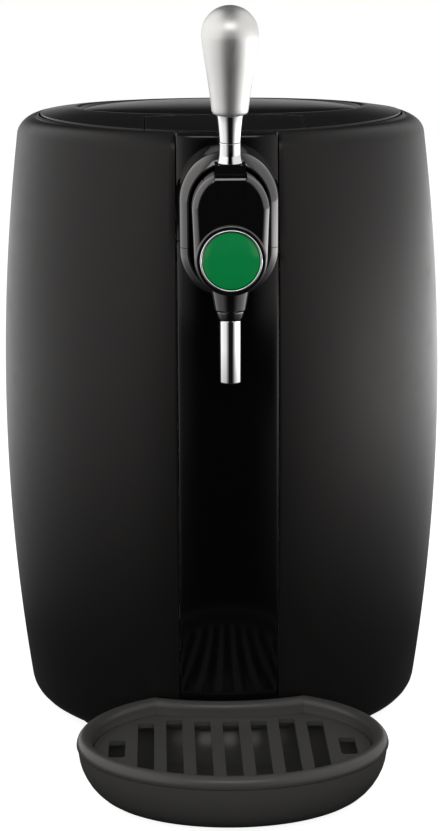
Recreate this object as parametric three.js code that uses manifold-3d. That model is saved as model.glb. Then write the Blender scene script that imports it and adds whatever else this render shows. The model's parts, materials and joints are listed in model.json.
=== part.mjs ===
// Mini keg beer dispenser: a barrel-shaped cooler with a lid on top, a lever tap on
// the front and a drip tray below it. Millimetres, +Z up, the front faces -Y.
// Inside the model, heights start at the floor and y = 0 is the barrel's own axis.
import * as THREE from "three";
import { mergeVertices } from "three/addons/utils/BufferGeometryUtils.js";
import Module from "manifold-3d";

const wasm = await Module();
wasm.setup();

// General clearances and walls
const gap = 0.3; // between pieces that seat on each other
const seamGap = 0.8; // visible seam round the lid
const moveGap = 0.5; // between pieces that move past each other
const overrun = 2; // how far a cutter passes the face it cuts
const wall = 2.5; // moulded wall of the outer shells

// Barrel
const bodyHalfWidth = 143.1;
const bodyFrontDepth = 143; // axis to the front of the widest level
const bodyRearDepth = 165; // axis to the back of the widest level
const rearSquareness = 2.4; // superellipse exponent of the rear half
const bodyHeight = 390; // floor to the flat rim round the lid
const bulgeShare = 0.525; // level of the widest point, as a share of the height
const bulgeRadius = 1340; // radius of the barrel's side curve
const shoulderRadius = 10;
const footHeight = 4; // floor to the underside of the base
const hemRadius = 12; // rounding at the shells' bottom edge
const bodySegments = 48;
const barrelRows = 6;
const linerRows = 3;
const shoulderSteps = 3;
const bulgeHeight = bodyHeight * bulgeShare;

// Lid
const rimShelf = 25.6; // width of the rim from the widest outline to the lid opening, at the sides
const frontShelf = 25.5; // the same at the front
const hingeRoom = 10.9; // extra depth that the hinge takes behind the lid opening
const depthRoom = (bodyFrontDepth + bodyRearDepth) / 2 - hingeRoom;
const lidOpeningRadius = Math.min(bodyHalfWidth, depthRoom) - rimShelf; // round, so the tighter way counts
const lidCentreY = frontShelf + lidOpeningRadius - bodyFrontDepth;
const lipHeight = 7; // wall that hangs from the rim round the opening
const seamDip = 0.9; // the lid's seam runs this far below the rim at the front and the back
const seamSaddle = 2.5; // and this far higher at the sides
const lidThickness = 3;
const lidDraft = 1; // how far the underside of the lid's edge stands in
const lidCrown = 6; // rise from the seam to the edge of the oval recess
const recessDepth = 3;
const domeSideShelf = 26.2; // lid's edge to the oval insert, at the sides
const domeFrontShelf = 51.7; // the same at the front and the back
const domeGroove = 2;
const domeRise = 5.4; // crown of the oval insert over its own edge
const domeEdgeShare = 0.35; // height of the insert's rounded edge, as a share of its rise
const lidSegments = 40;
const skirtWidth = 2.5;
const skirtDepth = 7;
const lidRadius = lidOpeningRadius - seamGap;
const domeHalfWidth = lidRadius - domeSideShelf;
const domeHalfDepth = lidRadius - domeFrontShelf;
const skirtRadius = lidRadius - 2 * seamGap - moveGap;

// Latch flap in the lid's front
const latchHalfWidth = 48.5;
const latchGap = 0.5;
const latchTravel = 6; // degrees, the flap's front downwards
const latchPinRadius = 1.5;
const latchPinSetBack = 5; // pin axis behind the flap's rear edge, inside the flap
const latchPinDrop = 2; // pin axis below the lid's underside
const latchBarrelWall = 1.5;
const latchTongueHalfWidth = 8;
const latchTongueThickness = 2;
const latchTongueDrop = 6;
const latchBossWidth = 5;

// Lid hinge
const hingeSetBack = 8.5; // axis behind the lid opening
const hingeDrop = 6.5; // axis below the rim
const hingePinRadius = 2;
const knuckleRadius = 5;
const centreEarHalfWidth = 12;
const lidArmWidth = 8;
const outerEarWidth = 4;
const hingeBracketThickness = 2;
const hingeSlotMargin = 1.5;

// Keg well
const wellSetForward = 8; // well's centre in front of the lid's centre
const funnelWidth = 29.5; // lid opening to the well's wall
const wellCentreY = -wellSetForward;
const sealCentreShare = 0.75; // the seal's centre, as a share of the way to the well's
const sealCentreY = wellCentreY * sealCentreShare;
const wellRadius = lidOpeningRadius - funnelWidth; // a 5 litre keg is 85 mm in radius
const linerWall = 1;
const foamThickness = 13.7;
const foamBottom = 15;
const foamBottomHeight = 45;
const linerDrop = 48; // rim down to the liner's flange
const linerTop = bodyHeight - linerDrop;
const linerFlange = 7;
const wellSegments = 32;
const collarWall = 2.5;
const ledgeWidth = 18; // well's wall to the outside of the step that the lid's seal sits on
const ledgeDrop = 24;
const ledgeRadius = wellRadius + ledgeWidth;
const ledgeHeight = bodyHeight - ledgeDrop;
const throatRadius = wellRadius + linerWall;
const sealHeight = 3.6;
const sealWidth = 6;
const sealInset = 2.5; // seal's outside, inside the ledge
const panFlange = 3.7;
const panStep = 4;

// Front strip, seam and tap hood
const stripHalfWidth = 30.5;
const stripSeamDrop = 63; // heights of the strip, the hood and the tap are given as drops below the rim
const stripSeamHeight = bodyHeight - stripSeamDrop;
const hoodRadius = 28.2; // outline where it grows out of the strip
const hoodCrestRadius = 25.2;
const hoodReach = 22; // front of the strip to the hood's crest
const hoodBottomDrop = 64.5;
const hoodTopDrop = 35.7;
const hoodBottomCentre = bodyHeight - hoodBottomDrop;
const hoodTopCentre = bodyHeight - hoodTopDrop;
const hoodGroove = 2; // between the hood and the tap
const hoodSteps = 4;
const arcSteps = 10; // segments in each half round of the hood and the tap

// Tap
const tapRadius = 21.3;
const tapBottomRadius = 20.4;
const tapBottomDrop = 66;
const tapTopDrop = 37.5;
const tapBottomCentre = bodyHeight - tapBottomDrop;
const tapTopCentre = bodyHeight - tapTopDrop;
const tapReach = 52; // front of the barrel to the tap's face
const tapEdgeRadius = 2.8;
const tapEdgeSteps = 3;
const tapFlangeWidth = 3.7;
const tapFlangeThickness = 3;
const tapInnerReach = 20; // barrel front to the flange's rear face, inwards
const tubeChannelHalfWidth = 6;
const tubeChannelHeight = 9;
const tubeChannelDrop = 40;
const tubeChannelBottom = bodyHeight - tubeChannelDrop;
const tubeBoreRadius = 4.75;
const pivotSetForward = 37; // barrel front to the lever's axis
const pivotDrop = 24;
const pivotHeight = bodyHeight - pivotDrop;
const pivotPinRadius = 2.5;
const hubRadius = 7.5;
const hubHalfWidth = 8.8;
const tapFrontWall = 2.5;
const tapFrontWallOverPivot = 3.3;
const pinHeadroom = 2; // pin ends stay this far inside the tap's sides

// Lever
const leverLean = 5; // degrees, forwards at rest
const neckHalfDepth = 6;
const neckHeight = 11;
const stemBottomRadius = 6.2;
const stemWaistRadius = 6.1;
const stemTopRadius = 7.6;
const stemHeight = 12.5;
const ferruleHeight = 15.5;
const gripHeight = 61;
const gripBottomRadius = 8.6;
const gripLowRadius = 10.6;
const gripMaxRadius = 16.1;
const gripMaxShare = 0.77; // level of the grip's widest point
const gripShares = [ // level up the grip, and its swell from the low to the widest radius
  [0.05, 0],
  [0.27, 0.3],
  [0.5, 0.67],
  [0.68, 0.95],
];
const gripDomeSteps = 6;
const gripSegments = 20;
const lugArm = 10.5;
const lugRadius = 2;
const lugAngle = -30; // degrees below level, behind the axis
const lugHalfWidth = 4;

// Pinch jaw
const jawDepth = 10;
const jawHalfWidth = 6.5;
const jawSetBack = 13.2; // lever axis to the jaw's front
const jawPinch = 2.8; // height left over the channel's floor for the flattened hose
const jawLedgeThickness = 2.2;
const jawLedgeReach = 4.2;
const jawPlay = 0.4;

// Spout and badge
const spoutSetForward = 34;
const collarTopRadius = 11.8;
const collarBottomRadius = 9;
const collarDrop = 81;
const collarLength = 16.3;
const collarTop = bodyHeight - collarDrop;
const collarBottom = collarTop - collarLength;
const nutTopRadius = 8;
const nutBottomRadius = 6.15;
const nutHeight = 5.7;
const spoutRadius = 6.15;
const spoutSpigotRadius = 5.2;
const spoutBoreRadius = 4;
const spoutLength = 42.9; // below the collar
const spoutBottom = collarBottom - spoutLength;
const spoutSpigotInset = 6; // how far the spigot stands up inside the collar
const badgeRadius = 16.6;
const bezelWidth = 1.2;
const badgeThickness = 1.6;
const bezelThickness = 2.4;
const badgeRecess = 0.6;
const roundSegments = 20;
const pinSegments = 16; // small pins and bores
const postSegments = 12;

// Drip tray
const trayHalfWidth = 93.2;
const trayReach = 122; // front of the barrel to the tray's front
const trayBackReach = 78; // tray's ellipse centre to its back, before the barrel cuts it
const trayCentreReach = 50; // front of the barrel to the ellipse's centre
const trayHeight = 39.2;
const trayClearance = 1; // to the barrel
const trayFrontSteps = 28;
const trayBackSteps = 8;
const rimWidth = 9;
const rimDepth = 7; // crest to the seam with the bowl
const rimShares = [ // section of the crest: share of the rim's width inwards, of its depth upwards
  [0, 0.22],
  [0.06, 0.6],
  [0.28, 0.9],
  [0.55, 1],
  [0.83, 0.85],
  [1, 0.4],
];
const grateDrop = 9; // crest to the grate's top
const grateThickness = 3;
const grateLedge = 4;
const bowlWall = 2.5;
const bowlFloorHeight = 0.5;
const bowlFloorThickness = 3;
const bowlSetIn = 1; // bowl's top edge inside the rim's outline
const bowlTaper = 22.5; // how far the floor's edge stands in from the rim
const bowlShares = [ // side of the bowl: share of the taper inwards, share of the height upwards
  [1, 0],
  [0.76, 0.07],
  [0.44, 0.25],
  [0.18, 0.51],
  [0.04, 0.77],
  [0, 1],
];
const slotCount = 7;
const slotPitch = 17.3;
const slotWidth = 10;
const slotMargin = 6; // rim's inner edge to a slot's end
const sideHoleLength = 27;
const tongueHalfWidth = 25;
const tongueThickness = 2.2;
const tongueReach = 22; // under the barrel

// Base and feet
const baseThickness = 3;
const footRadius = 10;
const footSideInset = 59.1; // barrel's widest outline to a foot's centre, on each side
const footFrontInset = 79;
const footRearInset = 73;
const footSpreadX = bodyHalfWidth - footSideInset;
const footFrontY = footFrontInset - bodyFrontDepth;
const footRearY = bodyRearDepth - footRearInset;
const pedestalInset = 10; // well's wall to the outside of the pedestal
const pedestalRadius = wellRadius + pedestalInset;
const pedestalWall = 3;

// Cooling
const coolerHeight = 165; // centre of the thermoelectric tile, heat sink and fan, above the floor
const coldPlateSize = 60;
const tileSize = 40;
const tileThickness = 4;
const coldPlateOut = 2; // cold plate past the foam
const sinkSize = 96;
const sinkBase = 5;
const finCount = 11;
const finThickness = 2;
const finDepth = 22;
const fanSize = 80;
const fanDepth = 20;
const fanWall = 2.5;
const fanMotorRadius = 14;
const fanMotorThickness = 3;
const fanSpokeHalfWidth = 2;
const fanSpokeBars = 3; // bars across the tunnel, two spokes each
const fanSegments = 48;
const fanHubDepth = 13;
const fanHubWall = 1.8;
const fanShaftRadius = 1.5;
const bladeCount = 7;
const bladeThickness = 1.6;
const bladeChord = 15;
const bladePitch = 38; // degrees
const bracketLegHalfWidth = 30;
const bracketSill = 10; // depth of the foot under the fan's bracket
const sensorRadius = 2.5;
const sensorLength = 22;
const sensorRise = 49; // top of the heat sink to the sensor
const sensorHeight = coolerHeight + sinkSize / 2 + sensorRise;

// Rear cover, switch and inlet
const coverHalfWidth = 62;
const coverBottom = 30;
const coverTopDrop = 60;
const coverTop = bodyHeight - coverTopDrop;
const louvreCount = 11;
const louvrePitch = 9;
const louvreHeight = 4;
const louvreHalfWidth = 40;
const panelHeight = 62; // centre of the switch and the inlet
const pocketHalfWidth = 48; // flat recess that carries them
const pocketHalfHeight = 21;
const pocketDepth = 13; // widest outline of the back to the recess's floor
const pocketFloorReach = bodyRearDepth - pocketDepth;
const switchX = -30;
const switchHalfWidth = 7;
const switchHalfHeight = 10.5;
const switchBezel = 2;
const switchDepth = 12;
const rockerTilt = 12; // degrees
const rockerReach = 4;
const rockerPinRadius = 1.2;
const rockerPlay = 1.6; // room for the rocker's ends to swing in the housing
const inletX = 28;
const inletHalfWidth = 14;
const inletHalfHeight = 10;
const inletFlange = 3;
const inletDepth = 16;
const inletWall = 2;
const inletPinRadius = 1.3;
const inletPinSpread = 6;
const inletPinReach = 10;

// Electronics in the base
const boardHalfWidth = 48;
const boardHalfDepth = 38;
const boardThickness = 1.6;
const boardPostHeight = 8;
const boardPostRadius = 3;
const transformerHalfWidth = 17;
const transformerHalfDepth = 14;
const transformerHeight = 22;
const windowPlaceShare = 0.5; // centre of a core window, as a share of the half width
const windowHalfShare = 0.15; // half its width, as a share of the same
const windowFootShare = 0.3; // its foot and its top, as shares of the height
const windowTopShare = 0.8;
const capacitorRadius = 6;
const capacitorHeight = 18;
const capacitorEdgeShare = 0.9; // where the can's top edge is broken

// Places worked out from the sizes above
const frontY = -bodyFrontDepth;
const tapFrontY = frontY - tapReach;
const pivotY = frontY - pivotSetForward;
const spoutY = frontY - spoutSetForward;
const trayCentreY = frontY - trayCentreReach;
const underRim = bodyHeight - wall;
const lidUnder = bodyHeight - lidThickness;
const hingeY = lidOpeningRadius + hingeSetBack;
const hingeZ = bodyHeight - hingeDrop;
const hingeReach = centreEarHalfWidth + lidArmWidth + gap + outerEarWidth;
const foamRadius = wellRadius + linerWall + gap + foamThickness;
const linerBottom = foamBottomHeight + foamBottom + gap;
const collarFoot = linerTop + linerWall + gap;
const baseTop = footHeight + baseThickness;
const latchRearY = -domeHalfDepth - domeGroove;
const gratingTop = trayHeight - grateDrop;
const rimSeam = trayHeight - rimDepth;
const originShift = (trayReach + bodyFrontDepth - bodyRearDepth) / 2;
const sensorBulge = 0.8; // head of the sensor over its shank
const degree = Math.PI / 180;
const weldDistance = 1e-4; // corners nearer than this are one
const cornerHalvings = 40; // steps of the search for the tray's corner

// Materials, by finish
const satinBlack = new THREE.MeshStandardMaterial({ color: 0x2b2a2a, roughness: 0.45, metalness: 0 });
const glossBlack = new THREE.MeshStandardMaterial({ color: 0x070708, roughness: 0.08, metalness: 0 });
const innerBlack = new THREE.MeshStandardMaterial({ color: 0x1c1c1d, roughness: 0.6, metalness: 0 });
const chrome = new THREE.MeshStandardMaterial({ color: 0xe8e8e8, roughness: 0.05, metalness: 1 });
const satinMetal = new THREE.MeshStandardMaterial({ color: 0xc9c7c5, roughness: 0.35, metalness: 1 });
const badgeGreen = new THREE.MeshStandardMaterial({ color: 0x0b7a3c, roughness: 0.3, metalness: 0 });
const aluminium = new THREE.MeshStandardMaterial({ color: 0xb9bbbd, roughness: 0.4, metalness: 1 });
const foam = new THREE.MeshStandardMaterial({ color: 0xe9e6dc, roughness: 0.9, metalness: 0 });
const rubber = new THREE.MeshStandardMaterial({ color: 0x151515, roughness: 0.9, metalness: 0 });
const circuitGreen = new THREE.MeshStandardMaterial({ color: 0x1f5a34, roughness: 0.5, metalness: 0 });
const ceramic = new THREE.MeshStandardMaterial({ color: 0xe4e2de, roughness: 0.6, metalness: 0 });
const steel = new THREE.MeshStandardMaterial({ color: 0x9a9b9d, roughness: 0.35, metalness: 1 });

// Solids and geometries

function solidOf(geometry) {
  const plain = geometry.index ? geometry.clone() : geometry;
  plain.deleteAttribute("normal");
  plain.deleteAttribute("uv");
  const merged = mergeVertices(plain, weldDistance);
  return new wasm.Manifold(
    new wasm.Mesh({
      numProp: 3,
      vertProperties: merged.attributes.position.array,
      triVerts: new Uint32Array(merged.index.array),
    }),
  );
}

function geometryOf(solid) {
  const mesh = solid.getMesh();
  const positions = new Float32Array(mesh.numVert * 3);
  for (let i = 0; i < mesh.numVert; i++)
    positions.set(mesh.vertProperties.subarray(i * mesh.numProp, i * mesh.numProp + 3), i * 3);
  const geometry = new THREE.BufferGeometry();
  geometry.setAttribute("position", new THREE.BufferAttribute(positions, 3));
  geometry.setIndex(new THREE.BufferAttribute(mesh.triVerts, 1));
  geometry.computeVertexNormals();
  return geometry;
}

function piece(name, solid, material) {
  const mesh = new THREE.Mesh(geometryOf(solid), material);
  mesh.name = name;
  return mesh;
}

function join(first, ...others) {
  return others.reduce((all, other) => all.add(other), first);
}

function cut(first, ...others) {
  return others.reduce((rest, other) => rest.subtract(other), first);
}

// A box between two corners.
function block(low, high) {
  const [x0, y0, z0] = low;
  const [x1, y1, z1] = high;
  const box = new THREE.BoxGeometry(x1 - x0, y1 - y0, z1 - z0);
  return solidOf(box.translate((x0 + x1) / 2, (y0 + y1) / 2, (z0 + z1) / 2));
}

// A box centred on x = 0.
function slab(halfWidth, y0, y1, z0, z1) {
  return block([-halfWidth, y0, z0], [halfWidth, y1, z1]);
}

// A round rod or cone along an axis, from one end to the other.
function rod(axis, radius, start, end, centre, endRadius = radius, segments = roundSegments) {
  const geometry = new THREE.CylinderGeometry(endRadius, radius, end - start, segments);
  const [a, b] = centre;
  const middle = (start + end) / 2;
  if (axis === "x") return solidOf(geometry.rotateZ(-Math.PI / 2).translate(middle, a, b));
  if (axis === "y") return solidOf(geometry.translate(a, middle, b));
  return solidOf(geometry.rotateX(Math.PI / 2).translate(a, b, middle));
}

// A body turned round a vertical axis, from [radius, height] pairs.
function turned(profile, centreY = 0, segments = roundSegments) {
  const points = profile.map(([radius, height]) => new THREE.Vector2(radius, height));
  const geometry = new THREE.LatheGeometry([...points, points[0]], segments);
  return facingOut(solidOf(geometry.rotateX(Math.PI / 2).translate(0, centreY, 0)), geometry);
}

function facingOut(solid, geometry) {
  if (solid.volume() > 0) return solid;
  const index = geometry.index.array;
  for (let i = 0; i < index.length; i += 3) [index[i + 1], index[i + 2]] = [index[i + 2], index[i + 1]];
  return solidOf(geometry);
}

// A body through rings of points; closed loops back to its first ring, else both ends are capped.
function loft(rings, closed = false) {
  const count = rings[0].length;
  const points = rings.flat();
  const faces = [];
  const spans = closed ? rings.length : rings.length - 1;
  for (let row = 0; row < spans; row++) {
    const low = row * count;
    const high = ((row + 1) % rings.length) * count;
    for (let i = 0; i < count; i++) {
      const next = (i + 1) % count;
      faces.push(low + i, low + next, high + next, low + i, high + next, high + i);
    }
  }
  if (!closed) {
    for (const [row, turn] of [[0, true], [rings.length - 1, false]]) {
      const centre = points.length;
      const sum = rings[row].reduce((total, point) => total.add(point), new THREE.Vector3());
      points.push(sum.divideScalar(count));
      for (let i = 0; i < count; i++) {
        const here = row * count + i;
        const next = row * count + ((i + 1) % count);
        faces.push(...(turn ? [centre, next, here] : [centre, here, next]));
      }
    }
  }
  const geometry = new THREE.BufferGeometry().setFromPoints(points);
  geometry.setIndex(faces);
  return facingOut(solidOf(geometry), geometry);
}

// Outlines

function bulgeInset(height) {
  return (height - bulgeHeight) ** 2 / (2 * bulgeRadius);
}

// The barrel's outline at a height, drawn in by an extra inset.
function barrelRing(height, extra = 0) {
  const inset = bulgeInset(height) + extra;
  return Array.from({ length: bodySegments }, (_, i) => {
    const angle = (i / bodySegments) * 2 * Math.PI;
    const across = Math.cos(angle);
    const along = Math.sin(angle);
    const rear = along > 0;
    const power = rear ? 2 / rearSquareness : 1;
    const depth = (rear ? bodyRearDepth : bodyFrontDepth) - inset;
    return new THREE.Vector3(
      (bodyHalfWidth - inset) * Math.sign(across) * Math.abs(across) ** power,
      depth * Math.sign(along) * Math.abs(along) ** power,
      height,
    );
  });
}

function ovalRing(halfWidth, halfDepth, height, centreY = 0, segments = lidSegments) {
  return Array.from({ length: segments }, (_, i) => {
    const angle = (i / segments) * 2 * Math.PI;
    return new THREE.Vector3(halfWidth * Math.cos(angle), centreY + halfDepth * Math.sin(angle), height);
  });
}

function circleRing(radius, height, centreY = 0, segments = lidSegments) {
  return ovalRing(radius, radius, height, centreY, segments);
}

// Rings round the lid's seam, which lies lower at the front and back than at the sides.
function seamRing(halfWidth, halfDepth, height, share = 1, segments = lidSegments) {
  return ovalRing(halfWidth, halfDepth, height, 0, segments).map((point) => {
    const sideways = (point.x / halfWidth) ** 2;
    return point.setZ(height + share * (seamSaddle * sideways - seamDip));
  });
}

// An upright outline with round ends, facing -Y, at one depth y.
function stadiumRing(radius, bottomCentre, topCentre, y, bottomRadius = radius) {
  const ring = [];
  for (let i = 0; i <= arcSteps; i++) {
    const angle = (i / arcSteps) * Math.PI;
    ring.push(new THREE.Vector3(radius * Math.cos(angle), y, topCentre + radius * Math.sin(angle)));
  }
  for (let i = 0; i <= arcSteps; i++) {
    const angle = Math.PI + (i / arcSteps) * Math.PI;
    const across = bottomRadius * Math.cos(angle);
    ring.push(new THREE.Vector3(across, y, bottomCentre + bottomRadius * Math.sin(angle)));
  }
  return ring;
}

// The barrel's front at the tray's rim, which the tray's back follows.
function trayBackY(x, inset) {
  const rimInset = bulgeInset(trayHeight);
  const halfWidth = bodyHalfWidth - rimInset + trayClearance + inset;
  const depth = bodyFrontDepth - rimInset + trayClearance + inset;
  return -depth * Math.sqrt(Math.max(0, 1 - (x / halfWidth) ** 2));
}

function trayEllipseY(x, inset, back) {
  const reach = back ? trayBackReach : trayReach - trayCentreReach;
  const rise = (reach - inset) * Math.sqrt(Math.max(0, 1 - (x / (trayHalfWidth - inset)) ** 2));
  return trayCentreY + (back ? rise : -rise);
}

// Where the tray's oval meets the line of the barrel's front.
function trayCornerX(inset) {
  let low = 0;
  let high = trayHalfWidth - inset;
  for (let i = 0; i < cornerHalvings; i++) {
    const middle = (low + high) / 2;
    if (trayEllipseY(middle, inset, true) > trayBackY(middle, inset)) low = middle;
    else high = middle;
  }
  return low;
}

// The tray's outline: a hollow back that follows the barrel, and an oval front.
function trayRing(inset, height) {
  const ring = [];
  const cornerX = trayCornerX(inset);
  for (let i = 0; i < trayBackSteps; i++) {
    const x = cornerX * (1 - (2 * i) / trayBackSteps);
    ring.push(new THREE.Vector3(x, trayBackY(x, inset), height));
  }
  const halfWidth = trayHalfWidth - inset;
  const start = Math.acos(cornerX / halfWidth);
  for (let i = 0; i < trayFrontSteps; i++) {
    const angle = Math.PI - start + (i / trayFrontSteps) * (Math.PI + 2 * start);
    const x = halfWidth * Math.cos(angle);
    ring.push(new THREE.Vector3(x, trayEllipseY(x, inset, Math.sin(angle) > 0), height));
  }
  return ring;
}

// Barrel shells

// The whole outer skin with its rounded shoulder and the lip round the lid opening.
function barrelSkin() {
  const shoulderStart = bodyHeight - shoulderRadius;
  const straight = (rows, extra, from, to) =>
    Array.from({ length: rows + 1 }, (_, i) => barrelRing(from + ((to - from) * i) / rows, extra));
  const shoulder = (radius, outermost) =>
    Array.from({ length: shoulderSteps }, (_, i) => {
      const angle = ((i + 1) / shoulderSteps) * (Math.PI / 2);
      const inward = outermost + radius * (1 - Math.cos(angle));
      return barrelRing(shoulderStart + radius * Math.sin(angle), inward);
    });
  const toLid = (ring) => ring.map((point) => point.setY(point.y + lidCentreY));
  const lip = (radius, height) => toLid(circleRing(radius, height, 0, bodySegments));
  const seam = (radius, height) => toLid(seamRing(radius, radius, height, 1, bodySegments));
  const hemTop = footHeight + hemRadius;
  const hemMiddle = hemRadius * (1 - Math.SQRT1_2);
  return loft(
    [
      barrelRing(footHeight, hemRadius),
      barrelRing(footHeight + hemMiddle, hemMiddle),
      ...straight(barrelRows, 0, hemTop, shoulderStart),
      ...shoulder(shoulderRadius, 0),
      seam(lidOpeningRadius, bodyHeight),
      lip(lidOpeningRadius, bodyHeight - lipHeight),
      lip(lidOpeningRadius + wall, bodyHeight - lipHeight),
      seam(lidOpeningRadius + wall, underRim),
      ...shoulder(shoulderRadius - wall, wall).reverse(),
      ...straight(linerRows, wall, shoulderStart, hemTop),
      barrelRing(footHeight, hemRadius + wall),
    ],
    true,
  );
}

// The barrel as a solid whose surface runs in the middle of its skin.
function barrelCore() {
  const rows = 2 * barrelRows;
  const rise = (bodyHeight - footHeight) / rows;
  const levels = Array.from({ length: rows + 1 }, (_, i) => footHeight + rise * i);
  return loft(levels.map((height) => barrelRing(height, wall / 2)));
}

function stripBox(halfWidth, bottom, top) {
  return slab(halfWidth, frontY - overrun, 0, bottom, top);
}

// The box that parts the rear cover from the shells.
function coverBox(margin) {
  return slab(coverHalfWidth + margin, 0, bodyRearDepth + overrun, coverBottom - margin, coverTop + margin);
}

function hingeSlot() {
  const reach = centreEarHalfWidth + lidArmWidth + outerEarWidth + 2 * hingeSlotMargin;
  const front = lidCentreY + lidRadius - wall;
  const rear = lidCentreY + hingeY + knuckleRadius + hingeSlotMargin;
  return slab(reach, front, rear, bodyHeight - lipHeight - overrun, bodyHeight + overrun);
}

function sideShell(skin, side) {
  const far = bodyHalfWidth + overrun;
  const [front, rear, top] = [frontY - overrun, bodyRearDepth + overrun, bodyHeight + overrun];
  const [left, right] = side < 0 ? [-far, -gap / 2] : [gap / 2, far];
  const half = skin.intersect(block([left, front, 0], [right, rear, top]));
  return cut(half, stripBox(stripHalfWidth + gap, 0, top), coverBox(gap), hingeSlot());
}

// The ridge round the tap: it swells out of the strip to a rounded crest and turns back in.
function hoodRidge() {
  const back = frontY + wall + bulgeInset(hoodTopCentre + hoodRadius);
  const crest = frontY - hoodReach;
  const rings = [stadiumRing(hoodRadius, hoodBottomCentre, hoodTopCentre, back)];
  for (let i = 0; i <= hoodSteps; i++) {
    const share = i / hoodSteps;
    const angle = share * (Math.PI / 2);
    const radius = hoodCrestRadius + (hoodRadius - hoodCrestRadius) * Math.cos(angle);
    const y = frontY - (hoodReach - wall) * share - wall * Math.sin(angle);
    rings.push(stadiumRing(radius, hoodBottomCentre, hoodTopCentre, y));
  }
  const innerRadius = (hoodCrestRadius + tapRadius + moveGap) / 2;
  rings.push(stadiumRing(innerRadius, hoodBottomCentre, hoodTopCentre, crest - gap));
  return loft(rings);
}

// The tap's outline, grown by a margin, at one depth.
function tapRing(margin, y) {
  return stadiumRing(tapRadius + margin, tapBottomCentre, tapTopCentre, y, tapBottomRadius + margin);
}

function tapHole(margin) {
  return loft([tapRing(margin, tapFrontY - overrun), tapRing(margin, frontY + tapInnerReach)]);
}

// The glossy strip in the barrel's front, in two lengths, each with its part of the hood.
function stripPiece(skin, bottom, top) {
  const cutter = stripBox(stripHalfWidth, bottom, top);
  const ahead = slab(stripHalfWidth, tapFrontY, frontY + tapInnerReach, bottom, top);
  const ridge = cut(hoodRidge().intersect(ahead), barrelCore(), tapHole(hoodGroove));
  return cut(join(skin.intersect(cutter), ridge), tapHole(moveGap));
}

function baseSkirt() {
  const centreY = lidCentreY + wellCentreY;
  const edge = (height) => barrelRing(height, Math.max(hemRadius - (height - footHeight), 0) + wall + gap);
  const plate = loft([edge(footHeight), edge(baseTop)]);
  const plateMiddle = baseTop - baseThickness / 2;
  const pedestal = turned(
    [
      [pedestalRadius - pedestalWall, plateMiddle],
      [pedestalRadius, plateMiddle],
      [pedestalRadius, foamBottomHeight - gap],
      [pedestalRadius - pedestalWall, foamBottomHeight - gap],
    ],
    centreY,
    wellSegments,
  );
  const postX = boardHalfWidth - 2 * boardPostRadius;
  const postY = boardHalfDepth - 2 * boardPostRadius;
  const postTop = baseTop + boardPostHeight;
  const posts = [-1, 1].flatMap((sx) =>
    [-1, 1].map((sy) => {
      const place = [sx * postX, centreY + sy * postY];
      return rod("z", boardPostRadius, plateMiddle, postTop, place, boardPostRadius, postSegments);
    }),
  );
  return join(plate, pedestal, ...posts);
}

// Keg well

function kegLiner() {
  const outer = wellRadius + linerWall;
  return turned(
    [
      [0, linerBottom],
      [outer, linerBottom],
      [outer, linerTop],
      [outer + linerFlange, linerTop],
      [outer + linerFlange, linerTop + linerWall],
      [wellRadius, linerTop + linerWall],
      [wellRadius, linerBottom + linerWall],
      [0, linerBottom + linerWall],
    ],
    wellCentreY,
    wellSegments,
  );
}

// Where the cold plate passes through the foam.
function coldPlateWindow(margin) {
  const half = coldPlateSize / 2 + margin;
  return slab(half, 0, bodyRearDepth, coolerHeight - half, coolerHeight + half);
}

function foamJacket() {
  const inner = wellRadius + linerWall + gap;
  const cup = turned(
    [
      [0, foamBottomHeight],
      [foamRadius, foamBottomHeight],
      [foamRadius, linerTop - gap],
      [inner, linerTop - gap],
      [inner, foamBottomHeight + foamBottom],
      [0, foamBottomHeight + foamBottom],
    ],
    wellCentreY,
    wellSegments,
  );
  const bore = sensorRadius + gap;
  const probe = rod("y", bore, 0, bodyRearDepth, [0, sensorHeight], bore, pinSegments);
  return cut(cup, coldPlateWindow(gap), probe);
}

// The funnel between the lid opening and the keg well, with the step for the seal.
function wellCollar() {
  const mouth = lidOpeningRadius - 2 * gap - moveGap;
  const rimTop = bodyHeight - lipHeight - gap;
  const rimFoot = rimTop - lidThickness;
  const inner = [
    [throatRadius, collarFoot, wellCentreY],
    [throatRadius, ledgeHeight - collarWall, wellCentreY],
    [ledgeRadius - sealWidth - 2 * sealInset, ledgeHeight, wellCentreY],
    [ledgeRadius, ledgeHeight, sealCentreY],
    [mouth, rimFoot, 0],
    [mouth, rimTop, 0],
  ];
  const outer = [
    [lidOpeningRadius + wall, rimTop, 0],
    [lidOpeningRadius + wall, rimFoot, 0],
    [ledgeRadius + collarWall, ledgeHeight - collarWall, sealCentreY],
    [throatRadius + collarWall, ledgeHeight - 2 * collarWall, wellCentreY],
    [throatRadius + collarWall, collarFoot, wellCentreY],
  ];
  const ring = ([radius, height, y]) => circleRing(radius, height, y);
  const funnel = loft([...inner.map(ring), ...outer.map(ring)], true);
  const tubeWindow = slab(
    tubeChannelHalfWidth + overrun,
    frontY,
    wellCentreY,
    tubeChannelBottom - overrun,
    tubeChannelBottom + tubeChannelHeight + overrun,
  );
  const pocketFoot = lidUnder - latchTongueDrop - latchTravelDepth() - overrun;
  const pocketRear = -skirtRadius + 2 * skirtWidth + overrun;
  const catchPocket = slab(latchTongueHalfWidth + overrun, frontY, pocketRear, pocketFoot, bodyHeight);
  const armWindow = slab(
    centreEarHalfWidth + lidArmWidth + overrun,
    skirtRadius - 2 * skirtWidth - overrun,
    bodyRearDepth,
    hingeZ - knuckleRadius / 2 - moveGap,
    bodyHeight,
  );
  return cut(funnel, tubeWindow, catchPocket, armWindow);
}

function latchTravelDepth() {
  return (lidRadius - domeHalfDepth) * Math.sin(latchTravel * degree);
}

// Lid

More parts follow.
